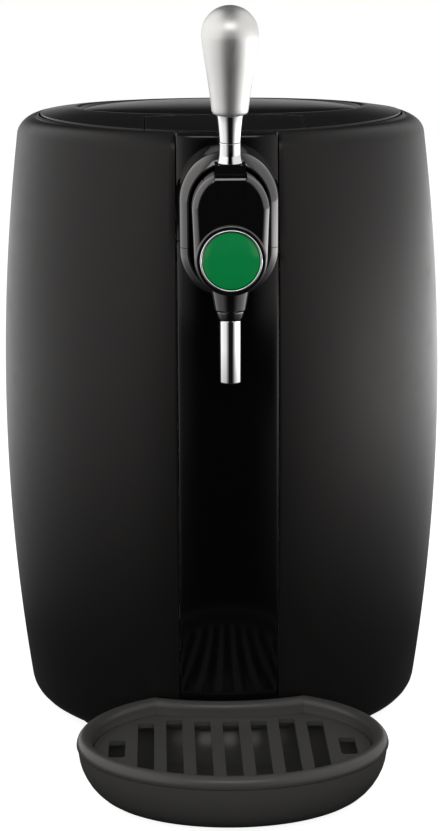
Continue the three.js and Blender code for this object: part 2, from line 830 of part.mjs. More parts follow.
// The lid's moulded plate: crowned towards the oval recess, with a skirt below its edge.
function lidPlate() {
  const steps = 4;
  const crown = Array.from({ length: steps + 1 }, (_, i) => {
    const share = i / steps;
    const halfWidth = lidRadius + (domeHalfWidth + domeGroove - lidRadius) * share;
    const halfDepth = lidRadius + (domeHalfDepth + domeGroove - lidRadius) * share;
    const height = bodyHeight + lidCrown * Math.sin((share * Math.PI) / 2);
    return seamRing(halfWidth, halfDepth, height, 1 - share);
  });
  const recessFloor = bodyHeight + lidCrown - recessDepth;
  const plate = loft([
    seamRing(lidRadius - lidDraft, lidRadius - lidDraft, lidUnder),
    ...crown,
    ovalRing(domeHalfWidth + domeGroove, domeHalfDepth + domeGroove, recessFloor),
  ]);
  const skirt = cut(
    rod("z", skirtRadius, lidUnder - skirtDepth, bodyHeight - gap, [0, 0], skirtRadius, lidSegments),
    rod("z", skirtRadius - skirtWidth, 0, bodyHeight, [0, 0], skirtRadius - skirtWidth, lidSegments),
  );
  return join(plate, skirt);
}

function latchBox(margin) {
  const [low, high] = [lidUnder - skirtDepth - overrun, bodyHeight + 2 * lidCrown];
  return slab(latchHalfWidth + margin, -lidRadius - overrun, latchRearY + margin, low, high);
}

function latchAxis() {
  return [latchRearY - latchPinSetBack, lidUnder - latchPinDrop];
}

function lidFrame() {
  const [pinY, pinZ] = latchAxis();
  const bossRadius = latchPinRadius + gap + latchBarrelWall;
  const bosses = [-1, 1].map((side) => {
    const near = latchHalfWidth + latchGap;
    const ends = [side * near, side * (near + latchBossWidth)].sort((a, b) => a - b);
    return join(
      rod("x", bossRadius, ends[0], ends[1], [pinY, pinZ]),
      block([ends[0], pinY - bossRadius, pinZ], [ends[1], pinY + bossRadius, lidUnder + lidThickness / 2]),
    );
  });
  const pinRoom = latchHalfWidth + 2 * latchBossWidth;
  const pinHole = rod("x", latchPinRadius + gap, -pinRoom, pinRoom, [pinY, pinZ]);
  const arms = [-1, 1].map((side) => lidArm(side));
  const pinBore = rod("x", hingePinRadius + gap, -bodyHalfWidth, bodyHalfWidth, [hingeY, hingeZ]);
  return cut(join(cut(lidPlate(), latchBox(latchGap)), ...bosses, ...arms), pinHole, pinBore);
}

// A hinge arm of the lid: the knuckle, and the arm and web that reach forward to the lid's plate.
function lidArm(side) {
  const inner = side * (centreEarHalfWidth + gap);
  const outer = side * (centreEarHalfWidth + lidArmWidth);
  const [left, right] = [Math.min(inner, outer), Math.max(inner, outer)];
  const [front, under] = [skirtRadius - 2 * skirtWidth, hingeZ - knuckleRadius / 2];
  const barrel = rod("x", knuckleRadius, left, right, [hingeY, hingeZ]);
  const arm = block([left, front, under], [right, hingeY, hingeZ + knuckleRadius / 2]);
  const web = block([left, front, under], [right, lidRadius - gap, lidUnder + lidThickness / 2]);
  return join(barrel, arm, web);
}

function hingeBracket() {
  const bottom = bodyHeight - lipHeight - 2 * wall - hingeBracketThickness;
  const rear = bodyRearDepth - lidCentreY - bulgeInset(bodyHeight - lipHeight) - wall - 2 * moveGap;
  const front = lidOpeningRadius + wall + gap;
  const plate = slab(hingeReach, front, rear, bottom, bottom + hingeBracketThickness);
  const ears = [
    [-centreEarHalfWidth, centreEarHalfWidth],
    [hingeReach - outerEarWidth, hingeReach],
    [-hingeReach, outerEarWidth - hingeReach],
  ].map(([from, to]) =>
    join(
      rod("x", knuckleRadius, from, to, [hingeY, hingeZ]),
      block([from, hingeY - knuckleRadius + gap, bottom + gap], [to, hingeY + knuckleRadius - gap, hingeZ]),
    ),
  );
  const boreEnd = hingeReach + overrun;
  return cut(join(plate, ...ears), rod("x", hingePinRadius + gap, -boreEnd, boreEnd, [hingeY, hingeZ]));
}

function hingePin() {
  return rod("x", hingePinRadius, -hingeReach, hingeReach, [hingeY, hingeZ]);
}

function latchFlap() {
  const [pinY, pinZ] = latchAxis();
  const keep = slab(latchHalfWidth, -lidRadius - overrun, latchRearY, lidUnder, bodyHeight + 2 * lidCrown);
  const barrelRadius = latchPinRadius + gap + latchBarrelWall;
  const barrel = join(
    rod("x", barrelRadius, -latchHalfWidth, latchHalfWidth, [pinY, pinZ]),
    slab(latchHalfWidth, pinY - barrelRadius, pinY + barrelRadius, pinZ, lidUnder + lidThickness / 2),
  );
  const [front, rear] = [-skirtRadius, -skirtRadius + latchTongueThickness];
  const [foot, top] = [lidUnder - latchTongueDrop, lidUnder + lidThickness / 2];
  const tongue = slab(latchTongueHalfWidth, front, rear, foot, top);
  return cut(
    join(lidPlate().intersect(keep), barrel, tongue),
    rod("x", latchPinRadius + gap, -latchHalfWidth - overrun, latchHalfWidth + overrun, [pinY, pinZ]),
  );
}

function latchPin() {
  const end = latchHalfWidth + latchBossWidth;
  return rod("x", latchPinRadius, -end, end, latchAxis());
}

function lidDome() {
  const base = bodyHeight + lidCrown - recessDepth + gap;
  const edge = base + domeRise * domeEdgeShare;
  const rings = [ovalRing(domeHalfWidth, domeHalfDepth, base), ovalRing(domeHalfWidth, domeHalfDepth, edge)];
  const steps = 6;
  for (let i = 1; i < steps; i++) {
    const angle = (i / steps) * (Math.PI / 2);
    const size = Math.cos(angle);
    const height = edge + domeRise * (1 - domeEdgeShare) * Math.sin(angle);
    rings.push(ovalRing(domeHalfWidth * size, domeHalfDepth * size, height));
  }
  return loft(rings);
}

// The insulated plug under the lid, relieved where the latch flap dips.
function lidPan() {
  const foot = ledgeHeight + sealHeight + 2 * gap;
  const radius = ledgeRadius - 2 * moveGap;
  const plug = turned(
    [
      [0, foot],
      [radius - moveGap, foot],
      [radius - moveGap, foot + panFlange],
      [radius - moveGap - panStep, foot + panFlange],
      [radius - moveGap - panStep, lidUnder - seamDip - gap],
      [0, lidUnder - seamDip - gap],
    ],
    sealCentreY,
    lidSegments,
  );
  const relief = slab(
    latchHalfWidth + latchGap + latchBossWidth + moveGap,
    -bodyFrontDepth,
    latchRearY + latchBarrelWall,
    lidUnder - 2 * latchTravelDepth() - moveGap,
    bodyHeight,
  );
  const slotRear = -skirtRadius + 2 * latchTongueThickness + overrun;
  const tongueSlot = slab(latchTongueHalfWidth + 2 * moveGap, -bodyFrontDepth, slotRear, 0, bodyHeight);
  return cut(plug, relief, tongueSlot);
}

function lidSeal() {
  const outer = ledgeRadius - sealInset;
  return turned(
    [
      [outer - sealWidth, ledgeHeight + gap],
      [outer, ledgeHeight + gap],
      [outer, ledgeHeight + gap + sealHeight],
      [outer - sealWidth, ledgeHeight + gap + sealHeight],
    ],
    sealCentreY,
    lidSegments,
  );
}

// Tap

function tapBody() {
  const back = frontY + tapInnerReach;
  const rounding = Array.from({ length: tapEdgeSteps }, (_, i) => {
    const angle = ((i + 1) / tapEdgeSteps) * (Math.PI / 2);
    return tapRing(
      -tapEdgeRadius * (1 - Math.cos(angle)),
      tapFrontY + tapEdgeRadius * (1 - Math.sin(angle)),
    );
  });
  const solid = loft([
    tapRing(tapFlangeWidth, back),
    tapRing(tapFlangeWidth, back - tapFlangeThickness),
    tapRing(0, back - tapFlangeThickness),
    tapRing(0, tapFrontY + tapEdgeRadius),
    ...rounding,
  ]);
  const jawFront = pivotY + jawSetBack;
  const jawRoom = jawHalfWidth + gap;
  const hubRoom = hubHalfWidth + moveGap;
  const channelTop = tubeChannelBottom + tubeChannelHeight;
  const channel = slab(
    tubeChannelHalfWidth,
    spoutY - tubeBoreRadius,
    back + overrun,
    tubeChannelBottom,
    channelTop,
  );
  const bore = rod("z", tubeBoreRadius, 0, channelTop, [0, spoutY]);
  const jawSlot = slab(jawRoom, jawFront - gap, jawFront + jawDepth + gap, tubeChannelBottom, bodyHeight);
  const hubFoot = pivotHeight - hubRadius - moveGap;
  const hubSlot = slab(hubRoom, tapFrontY + tapFrontWall, jawFront, hubFoot, bodyHeight);
  const ledgeFront = jawFront - jawLedgeReach - moveGap;
  const ledgeSlot = slab(jawRoom, ledgeFront, jawFront, tubeChannelBottom + moveGap, bodyHeight);
  const notchFoot = pivotHeight + tapFrontWallOverPivot;
  const frontNotch = slab(hubRoom, tapFrontY - overrun, jawFront, notchFoot, bodyHeight);
  const pinEnd = pinReach() + gap;
  const pinHole = rod("x", pivotPinRadius + gap, -pinEnd, pinEnd, [pivotY, pivotHeight]);
  const seatRadius = badgeRadius + bezelWidth + gap;
  const badgeCentre = [0, tapBottomCentre];
  const badgeSeat = rod("y", seatRadius, tapFrontY - overrun, tapFrontY + badgeRecess, badgeCentre);
  const collarSocket = rod("z", collarTopRadius + gap, 0, collarTop + gap, [0, spoutY]);
  return cut(solid, channel, bore, jawSlot, hubSlot, ledgeSlot, frontNotch, pinHole, badgeSeat, collarSocket);
}

function pinReach() {
  return Math.sqrt(tapRadius ** 2 - (pivotHeight - tapTopCentre) ** 2) - pinHeadroom;
}

function pivotPin() {
  return rod("x", pivotPinRadius, -pinReach(), pinReach(), [0, 0]);
}

// The lever's hub, modelled round its own axis: a barrel, a lug that lifts the jaw and a neck.
function leverHub() {
  const lugY = lugArm * Math.cos(lugAngle * degree);
  const lugZ = lugArm * Math.sin(lugAngle * degree);
  const barrel = rod("x", hubRadius, -hubHalfWidth, hubHalfWidth, [0, 0]);
  const lug = rod("x", lugRadius, -lugHalfWidth, lugHalfWidth, [lugY, lugZ], lugRadius, pinSegments);
  const armGeometry = new THREE.BoxGeometry(2 * lugHalfWidth, lugArm, lugRadius);
  armGeometry.translate(0, lugArm / 2, 0).rotateX(lugAngle * degree);
  const neckGeometry = new THREE.BoxGeometry(2 * hubHalfWidth, 2 * neckHalfDepth, neckHeight);
  neckGeometry.translate(0, 0, neckHeight / 2).rotateX(leverLean * degree);
  const boreEnd = hubHalfWidth + overrun;
  const bore = rod("x", pivotPinRadius + gap, -boreEnd, boreEnd, [0, 0]);
  return cut(join(barrel, lug, solidOf(armGeometry), solidOf(neckGeometry)), bore);
}

function leverStem() {
  const foot = neckHeight + gap;
  return turned([
    [0, foot],
    [stemBottomRadius, foot],
    [stemWaistRadius, foot + stemHeight],
    [0, foot + stemHeight],
  ]);
}

function stemFerrule() {
  const foot = neckHeight + stemHeight + 2 * gap;
  return turned([
    [0, foot],
    [stemWaistRadius, foot],
    [stemTopRadius, foot + ferruleHeight],
    [0, foot + ferruleHeight],
  ]);
}

// The grip: a pear that swells upwards to a domed end.
function leverGrip() {
  const foot = neckHeight + stemHeight + ferruleHeight + 3 * gap;
  const widest = foot + gripHeight * gripMaxShare;
  const swell = gripMaxRadius - gripLowRadius;
  const profile = [
    [0, foot],
    [gripBottomRadius, foot],
    ...gripShares.map(([level, share]) => [gripLowRadius + swell * share, foot + gripHeight * level]),
  ];
  for (let i = 0; i < gripDomeSteps; i++) {
    const angle = (i / gripDomeSteps) * (Math.PI / 2);
    const height = widest + gripHeight * (1 - gripMaxShare) * Math.sin(angle);
    profile.push([gripMaxRadius * Math.cos(angle), height]);
  }
  profile.push([0, foot + gripHeight]);
  return turned(profile, 0, gripSegments);
}

// The jaw that squeezes the hose flat; the hub's lug sits between its two ledges.
function pinchJaw() {
  const front = pivotY + jawSetBack;
  const lugZ = pivotHeight + lugArm * Math.sin(lugAngle * degree);
  const upper = lugZ + lugRadius + jawPlay;
  const lower = lugZ - lugRadius - jawPlay;
  return join(
    slab(jawHalfWidth, front, front + jawDepth, tubeChannelBottom + jawPinch, upper + jawLedgeThickness),
    slab(jawHalfWidth, front - jawLedgeReach, front, upper, upper + jawLedgeThickness),
    slab(jawHalfWidth, front - jawLedgeReach, front, lower - jawLedgeThickness, lower),
  );
}

function spoutCollar() {
  const cone = rod("z", collarBottomRadius, collarBottom, collarTop, [0, spoutY], collarTopRadius);
  const seat = rod("z", spoutSpigotRadius + gap, 0, collarBottom + spoutSpigotInset + gap, [0, spoutY]);
  return cut(cone, seat, rod("z", tubeBoreRadius, 0, bodyHeight, [0, spoutY]));
}

function spoutNut() {
  const top = collarBottom - gap;
  const cone = rod("z", nutBottomRadius, top - nutHeight, top, [0, spoutY], nutTopRadius);
  return cut(cone, rod("z", spoutSpigotRadius + gap, 0, bodyHeight, [0, spoutY]));
}

function spoutTube() {
  const shoulder = collarBottom - nutHeight - 2 * gap;
  return turned(
    [
      [spoutBoreRadius, spoutBottom],
      [spoutRadius, spoutBottom],
      [spoutRadius, shoulder],
      [spoutSpigotRadius, shoulder],
      [spoutSpigotRadius, collarBottom + spoutSpigotInset],
      [spoutBoreRadius, collarBottom + spoutSpigotInset],
    ],
    spoutY,
  );
}

function badgeDisc() {
  const back = tapFrontY + badgeRecess - gap;
  return rod("y", badgeRadius - gap, back - badgeThickness, back, [0, tapBottomCentre]);
}

function badgeBezel() {
  const back = tapFrontY + badgeRecess - gap;
  return cut(
    rod("y", badgeRadius + bezelWidth, back - bezelThickness, back, [0, tapBottomCentre]),
    rod("y", badgeRadius, back - bezelThickness - overrun, back + overrun, [0, tapBottomCentre]),
  );
}

// Drip tray

function trayBowl() {
  const seat = rimSeam - gap;
  const drop = seat - bowlFloorHeight;
  const inset = (share) => bowlSetIn + (bowlTaper - bowlSetIn) * share;
  const outer = bowlShares.map(([inward, up]) => trayRing(inset(inward), bowlFloorHeight + drop * up));
  const innerFoot = bowlFloorHeight + bowlFloorThickness;
  const inner = bowlShares
    .map(([inward, up]) => trayRing(inset(inward) + bowlWall, innerFoot + (seat - innerFoot) * up))
    .reverse();
  const bowl = loft([...outer, ...inner]);
  const hem = bulgeInset(footHeight) + hemRadius;
  const tongueRear = frontY + hem + tongueReach;
  const tongueFront = tongueRear - 2 * tongueReach - bowlTaper;
  const tongueTop = footHeight - 2 * gap;
  const tongue = slab(tongueHalfWidth, tongueFront, tongueRear, tongueTop - tongueThickness, tongueTop);
  return join(bowl, tongue);
}

function trayRim() {
  const shelfTop = gratingTop - grateThickness - gap;
  const clearance = bowlSetIn + bowlWall + gap;
  const crest = [
    [bowlSetIn, rimSeam],
    ...rimShares.map(([inward, up]) => [rimWidth * inward, rimSeam + rimDepth * up]),
  ];
  const shelf = [
    [rimWidth + 2 * gap, shelfTop],
    [rimWidth + grateLedge, shelfTop],
    [rimWidth + grateLedge, shelfTop - bowlWall],
    [clearance + bowlWall / 2, shelfTop - bowlWall],
    [clearance, rimSeam],
  ];
  return loft([...crest, ...shelf].map(([inset, height]) => trayRing(inset, height)), true);
}

function dripGrate() {
  const edge = rimWidth + 2 * gap + moveGap;
  const plate = loft([trayRing(edge, gratingTop - grateThickness), trayRing(edge, gratingTop)]);
  const margin = edge + slotMargin;
  const half = (slotCount - 1) / 2;
  const slots = Array.from({ length: slotCount }, (_, i) => {
    const x = (i - half) * slotPitch;
    const outerX = Math.abs(x) + slotWidth / 2;
    const front = trayEllipseY(outerX, margin, false);
    const back = Math.min(trayBackY(Math.abs(x), margin), trayEllipseY(outerX, margin, true));
    return block([x - slotWidth / 2, front, 0], [x + slotWidth / 2, back, trayHeight]);
  });
  const sideHoles = [-1, 1].map((side) => {
    const x = side * (half + 1) * slotPitch;
    return block(
      [x - slotWidth / 2, trayCentreY - sideHoleLength / 2, 0],
      [x + slotWidth / 2, trayCentreY + sideHoleLength / 2, trayHeight],
    );
  });
  return cut(plate, ...slots, ...sideHoles);
}

// Cooling unit

function coldPlate() {
  const half = coldPlateSize / 2;
  const rear = wellCentreY + foamRadius + coldPlateOut;
  const bar = slab(half, 0, rear, coolerHeight - half, coolerHeight + half);
  const seat = wellRadius + linerWall + gap;
  return cut(bar, rod("z", seat, 0, bodyHeight, [0, wellCentreY], seat, 2 * wellSegments));
}

function tileY() {
  return wellCentreY + foamRadius + coldPlateOut + gap;
}

function thermoTile() {
  const half = tileSize / 2;
  return slab(half, tileY(), tileY() + tileThickness, coolerHeight - half, coolerHeight + half);
}

function heatSink() {
  const front = tileY() + tileThickness + gap;
  const half = sinkSize / 2;
  const base = slab(half, front, front + sinkBase, coolerHeight - half, coolerHeight + half);
  const pitch = (sinkSize - finThickness) / (finCount - 1);
  const fins = Array.from({ length: finCount }, (_, i) => {
    const x = -half + i * pitch;
    const [root, tip] = [front + sinkBase / 2, front + sinkBase + finDepth];
    return block([x, root, coolerHeight - half], [x + finThickness, tip, coolerHeight + half]);
  });
  return join(base, ...fins);
}

function fanY() {
  return tileY() + tileThickness + gap + sinkBase + finDepth + gap;
}

// The fan is modelled round its own axis, its front face at y = 0.
function fanFrame() {
  const half = fanSize / 2;
  const tunnel = half - fanWall;
  const box = slab(half, 0, fanDepth, -half, half);
  const ring = cut(box, rod("y", tunnel, -overrun, fanDepth + overrun, [0, 0], tunnel, fanSegments));
  const rear = fanDepth - fanMotorThickness;
  const motor = rod("y", fanMotorRadius, rear, fanDepth, [0, 0]);
  const spokes = Array.from({ length: fanSpokeBars }, (_, i) => {
    const bar = new THREE.BoxGeometry(2 * tunnel + fanWall, fanMotorThickness, 2 * fanSpokeHalfWidth);
    bar.rotateY((i / fanSpokeBars) * Math.PI);
    return solidOf(bar.translate(0, fanDepth - fanMotorThickness / 2, 0));
  });
  const shaftFront = rear - fanHubDepth + fanHubWall;
  const shaft = rod("y", fanShaftRadius, shaftFront, rear + overrun / 2, [0, 0], fanShaftRadius, pinSegments);
  return join(ring, motor, ...spokes, shaft);
}

function fanRotor() {
  const rear = fanDepth - fanMotorThickness - moveGap;
  const front = rear - fanHubDepth;
  const tip = fanSize / 2 - fanWall - 2 * moveGap;
  const bore = fanShaftRadius + moveGap;
  const hub = cut(
    rod("y", fanMotorRadius, front, rear, [0, 0]),
    rod("y", bore, front + fanHubWall, rear + overrun, [0, 0], bore, pinSegments),
  );
  const blades = Array.from({ length: bladeCount }, (_, i) => {
    const length = tip - fanMotorRadius + 2 * fanHubWall;
    const blade = new THREE.BoxGeometry(length, bladeThickness, bladeChord);
    blade.rotateX(bladePitch * degree);
    blade.translate(tip - length / 2, (front + rear) / 2, 0);
    return solidOf(blade.rotateY((i / bladeCount) * 2 * Math.PI));
  });
  const sweep = rod("y", tip, front - bladeChord, rear + bladeChord, [0, 0], tip, fanSegments);
  return join(hub, ...blades.map((blade) => blade.intersect(sweep)));
}

function temperatureProbe() {
  const start = wellCentreY + wellRadius + linerWall + 2 * gap;
  const end = start + sensorLength;
  const headRadius = sensorRadius + sensorBulge;
  const place = [0, sensorHeight];
  return join(
    rod("y", sensorRadius, start, end, place, sensorRadius, pinSegments),
    rod("y", headRadius, end - sensorRadius, end, place, headRadius, pinSegments),
  );
}

// Rear cover and what it carries

function panelOpening(x, halfWidth, halfHeight) {
  const [low, high] = [panelHeight - halfHeight, panelHeight + halfHeight];
  return block([x - halfWidth, 0, low], [x + halfWidth, bodyRearDepth + overrun, high]);
}

function rearCover(skin) {
  const floorY = pocketFloorReach;
  const [low, high] = [panelHeight - pocketHalfHeight, panelHeight + pocketHalfHeight];
  const pad = block(
    [-pocketHalfWidth - wall, floorY - wall, low - wall],
    [pocketHalfWidth + wall, bodyRearDepth, high + wall],
  ).intersect(barrelCore());
  const pocket = block([-pocketHalfWidth, floorY, low], [pocketHalfWidth, bodyRearDepth + overrun, high]);
  const cover = cut(join(skin.intersect(coverBox(0)), pad), pocket);
  const louvres = Array.from({ length: louvreCount }, (_, i) => {
    const height = coolerHeight + (i - (louvreCount - 1) / 2) * louvrePitch;
    const [foot, top] = [height - louvreHeight / 2, height + louvreHeight / 2];
    return slab(louvreHalfWidth, 0, bodyRearDepth + overrun, foot, top);
  });
  return cut(
    cover,
    ...louvres,
    panelOpening(switchX, switchHalfWidth + gap, switchHalfHeight + gap),
    panelOpening(inletX, inletHalfWidth + gap, inletHalfHeight + gap),
  );
}

// The fan's mounting plate: it carries the fan and the heat sink on the foam's side.
function fanBracket() {
  const half = sinkSize / 2;
  const front = fanY();
  const foot = baseTop + gap;
  const halfFan = fanSize / 2 + gap;
  const outer = join(
    slab(half, front, front + pedestalWall, coolerHeight - half, coolerHeight + half),
    slab(bracketLegHalfWidth, front, front + pedestalWall, foot, coolerHeight - half + overrun),
  );
  const [low, high] = [coolerHeight - halfFan, coolerHeight + halfFan];
  const opening = slab(halfFan, front - overrun, front + fanDepth + overrun, low, high);
  const [sillFront, sillRear] = [front - bracketSill, front + pedestalWall];
  const sill = slab(bracketLegHalfWidth, sillFront, sillRear, foot, foot + pedestalWall);
  return cut(join(outer, sill), opening);
}

function switchHousing() {
  const face = pocketFloorReach + gap;
  const [x0, x1] = [switchX - switchHalfWidth, switchX + switchHalfWidth];
  const [z0, z1] = [panelHeight - switchHalfHeight, panelHeight + switchHalfHeight];
  const side = switchBezel / 2;
  const body = block([x0, face - switchDepth, z0], [x1, face, z1]);
  const flange = block(
    [x0 - switchBezel, face, z0 - switchBezel],
    [x1 + switchBezel, face + side, z1 + switchBezel],
  );
  const cavity = block(
    [x0 + side, face - switchDepth + switchBezel, z0 + side],
    [x1 - side, face + overrun, z1 - side],
  );
  const axis = [rockerAxisY(), panelHeight];
  const pin = rod("x", rockerPinRadius, x0 + side / 2, x1 - side / 2, axis, rockerPinRadius, pinSegments);
  return join(cut(join(body, flange), cavity), pin);
}

function rockerAxisY() {
  return pocketFloorReach + gap - rockerReach;
}

// The rocker, round its own axis: two faces that meet in a shallow valley, one tipped out.
function switchRocker() {
  const halfWidth = switchHalfWidth - switchBezel / 2 - moveGap;
  const halfHeight = switchHalfHeight - switchBezel / 2 - rockerPlay;
  const rise = halfHeight * Math.tan(rockerTilt * degree);
  const face = rockerReach + switchBezel / 2;
  const outline = new THREE.Shape();
  outline.moveTo(-rockerReach / 2, -halfHeight / 2);
  outline.lineTo(face, -halfHeight);
  outline.lineTo(face, 0);
  outline.lineTo(face + rise, halfHeight);
  outline.lineTo(-rockerReach / 2, halfHeight / 2);
  const geometry = new THREE.ExtrudeGeometry(outline, { depth: 2 * halfWidth, bevelEnabled: false });
  geometry.translate(0, 0, -halfWidth);
  const toAxis = new THREE.Matrix4().makeBasis(
    new THREE.Vector3(0, 1, 0),
    new THREE.Vector3(0, 0, 1),
    new THREE.Vector3(1, 0, 0),
  );
  const solid = solidOf(geometry.applyMatrix4(toAxis));
  const bore = rockerPinRadius + gap;
  const boreEnd = halfWidth + overrun;
  return cut(solid, rod("x", bore, -boreEnd, boreEnd, [0, 0], bore, pinSegments));
}

function inletSocket() {
  const face = pocketFloorReach + gap;
  const [x0, x1] = [inletX - inletHalfWidth, inletX + inletHalfWidth];
  const [z0, z1] = [panelHeight - inletHalfHeight, panelHeight + inletHalfHeight];
  const body = block([x0, face - inletDepth, z0], [x1, face, z1]);
  const flange = block(
    [x0 - inletFlange, face, z0 - inletFlange],
    [x1 + inletFlange, face + inletWall, z1 + inletFlange],
  );
  const cavity = block(
    [x0 + inletWall, face - inletDepth + inletWall, z0 + inletWall],
    [x1 - inletWall, face + inletFlange, z1 - inletWall],
  );
  const back = face - inletDepth + inletWall / 2;
  const pins = [-1, 0, 1].map((side) => {
    const place = [inletX + side * inletPinSpread, panelHeight + (side ? -inletPinRadius : inletPinRadius)];
    return rod("y", inletPinRadius, back, back + inletPinReach, place, inletPinRadius, postSegments);
  });
  return join(cut(join(body, flange), cavity), ...pins);
}

// Electronics

function powerBoard() {
  const bottom = baseTop + boardPostHeight + gap;
  const [front, rear] = [wellCentreY - boardHalfDepth, wellCentreY + boardHalfDepth];
  return slab(boardHalfWidth, front, rear, bottom, bottom + boardThickness);
}

function boardTop() {
  return baseTop + boardPostHeight + gap + boardThickness + gap;
}

function transformer() {
  const x = -boardHalfWidth / 2;
  const core = block(
    [x - transformerHalfWidth, wellCentreY - transformerHalfDepth, boardTop()],
    [x + transformerHalfWidth, wellCentreY + transformerHalfDepth, boardTop() + transformerHeight],
  );
  const half = transformerHalfWidth * windowHalfShare;
  const front = wellCentreY - transformerHalfDepth - overrun;
  const rear = wellCentreY - transformerHalfDepth / 2;
  const low = boardTop() + transformerHeight * windowFootShare;
  const high = boardTop() + transformerHeight * windowTopShare;
  const window = (side) => {
    const middle = x + side * transformerHalfWidth * windowPlaceShare;
    return block([middle - half, front, low], [middle + half, rear, high]);
  };
  return cut(core, window(-1), window(1));
}

function capacitor() {
  return turned([
    [0, 0],
    [capacitorRadius, 0],
    [capacitorRadius, capacitorHeight * capacitorEdgeShare],
    [capacitorRadius * capacitorEdgeShare, capacitorHeight],
    [0, capacitorHeight],
  ]);
}

// A foot, standing on the floor under its own centre.
function foot() {
  return turned([
    [0, 0],
    [footRadius - footHeight / 4, 0],
    [footRadius, footHeight / 2],
    [footRadius, footHeight - gap],
    [0, footHeight - gap],
  ]);
}

// Assembly

function barrelGroup() {
  const group = new THREE.Group();
  const skin = barrelSkin();
  group.add(
    piece("left_shell", sideShell(skin, -1), satinBlack),
    piece("right_shell", sideShell(skin, 1), satinBlack),
    piece("front_panel", stripPiece(skin, 0, stripSeamHeight - gap), glossBlack),
    piece("tap_hood", stripPiece(skin, stripSeamHeight, bodyHeight + overrun), glossBlack),
    piece("rear_cover", rearCover(skin), satinBlack),
    piece("base_plate", baseSkirt(), innerBlack),
    piece("switch_housing", switchHousing(), innerBlack),
    piece("power_inlet", inletSocket(), innerBlack),
  );
  [["front", footFrontY], ["rear", footRearY]].forEach(([end, y]) => {
    [["left", -1], ["right", 1]].forEach(([side, sign]) => {
      const rubberFoot = piece(`foot_${end}_${side}`, foot(), rubber);
      rubberFoot.position.set(sign * footSpreadX, y, 0);
      group.add(rubberFoot);
    });
  });
  const rocker = piece("power_rocker", switchRocker(), glossBlack);
  rocker.position.set(switchX, rockerAxisY(), panelHeight);
  group.add(rocker);
  return group;
}

// The keg's well and the lid's hinge, placed from the lid's centre.
function wellGroup() {
  const group = new THREE.Group();
  group.add(
    piece("keg_liner", kegLiner(), aluminium),
    piece("foam_jacket", foamJacket(), foam),
    piece("well_collar", wellCollar(), innerBlack),
    piece("hinge_bracket", hingeBracket(), innerBlack),
    piece("lid_hinge_pin", hingePin(), steel),
  );
  return group;
}

function coolingGroup() {
  const group = new THREE.Group();
  group.add(
    piece("cold_plate", coldPlate(), aluminium),
    piece("thermoelectric_tile", thermoTile(), ceramic),
    piece("heat_sink", heatSink(), aluminium),
    piece("fan_bracket", fanBracket(), innerBlack),
    piece("temperature_probe", temperatureProbe(), steel),
  );
  const fan = new THREE.Group();
  fan.position.set(0, fanY(), coolerHeight);
  fan.add(piece("fan_frame", fanFrame(), innerBlack), piece("fan_rotor", fanRotor(), innerBlack));
  group.add(fan);
  return group;
}

function electronicsGroup() {
  const group = new THREE.Group();
  group.add(piece("power_board", powerBoard(), circuitGreen), piece("transformer", transformer(), steel));
  [-1, 1].forEach((side) => {
    const can = piece(side < 0 ? "capacitor_front" : "capacitor_rear", capacitor(), aluminium);
    can.position.set(boardHalfWidth / 2, wellCentreY + side * 2 * capacitorRadius, boardTop());
    group.add(can);
  });
  return group;
}

function lidGroup() {
  const group = new THREE.Group();
  group.add(
    piece("lid_frame", lidFrame(), satinBlack),
    piece("lid_dome", lidDome(), glossBlack),
    piece("lid_pan", lidPan(), innerBlack),
    piece("lid_seal", lidSeal(), rubber),
    piece("latch_flap", latchFlap(), satinBlack),
    piece("latch_pin", latchPin(), steel),
  );
  return group;
}

function tapGroup() {
  const group = new THREE.Group();
  group.add(
    piece("tap_body", tapBody(), glossBlack),
    piece("pinch_jaw", pinchJaw(), innerBlack),
    piece("spout_collar", spoutCollar(), glossBlack),
    piece("spout_nut", spoutNut(), glossBlack),
    piece("spout_tube", spoutTube(), chrome),
    piece("badge_bezel", badgeBezel(), chrome),
    piece("badge_disc", badgeDisc(), badgeGreen),
  );
  const lever = new THREE.Group();
  lever.position.set(0, pivotY, pivotHeight);
  const upright = new THREE.Group();
  upright.rotation.x = leverLean * degree;
  upright.add(
    piece("lever_stem", leverStem(), chrome),
    piece("stem_ferrule", stemFerrule(), chrome),
    piece("lever_grip", leverGrip(), satinMetal),
  );
  lever.add(piece("lever_hub", leverHub(), glossBlack), piece("lever_pin", pivotPin(), steel), upright);
  group.add(lever);
  return group;
}

function trayGroup() {
  const group = new THREE.Group();
  group.add(
    piece("tray_bowl", trayBowl(), satinBlack),
    piece("tray_rim", trayRim(), glossBlack),
    piece("drip_grate", dripGrate(), satinBlack),
  );
  return group;
}

const dispenser = new THREE.Group();
dispenser.name = "mini_keg_dispenser";
dispenser.position.y = originShift;
const aboutLidCentre = new THREE.Group();
aboutLidCentre.position.y = lidCentreY;
aboutLidCentre.add(wellGroup(), coolingGroup(), electronicsGroup(), lidGroup());
dispenser.add(barrelGroup(), aboutLidCentre, tapGroup(), trayGroup());

export default dispenser;
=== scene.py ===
"""Mini keg beer dispenser: fine pieces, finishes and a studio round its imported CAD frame.

Pieces are modelled in millimetres with the barrel's own axis at x = y = 0 and heights from
the floor; settle() then puts each one into the frame, in metres.
"""

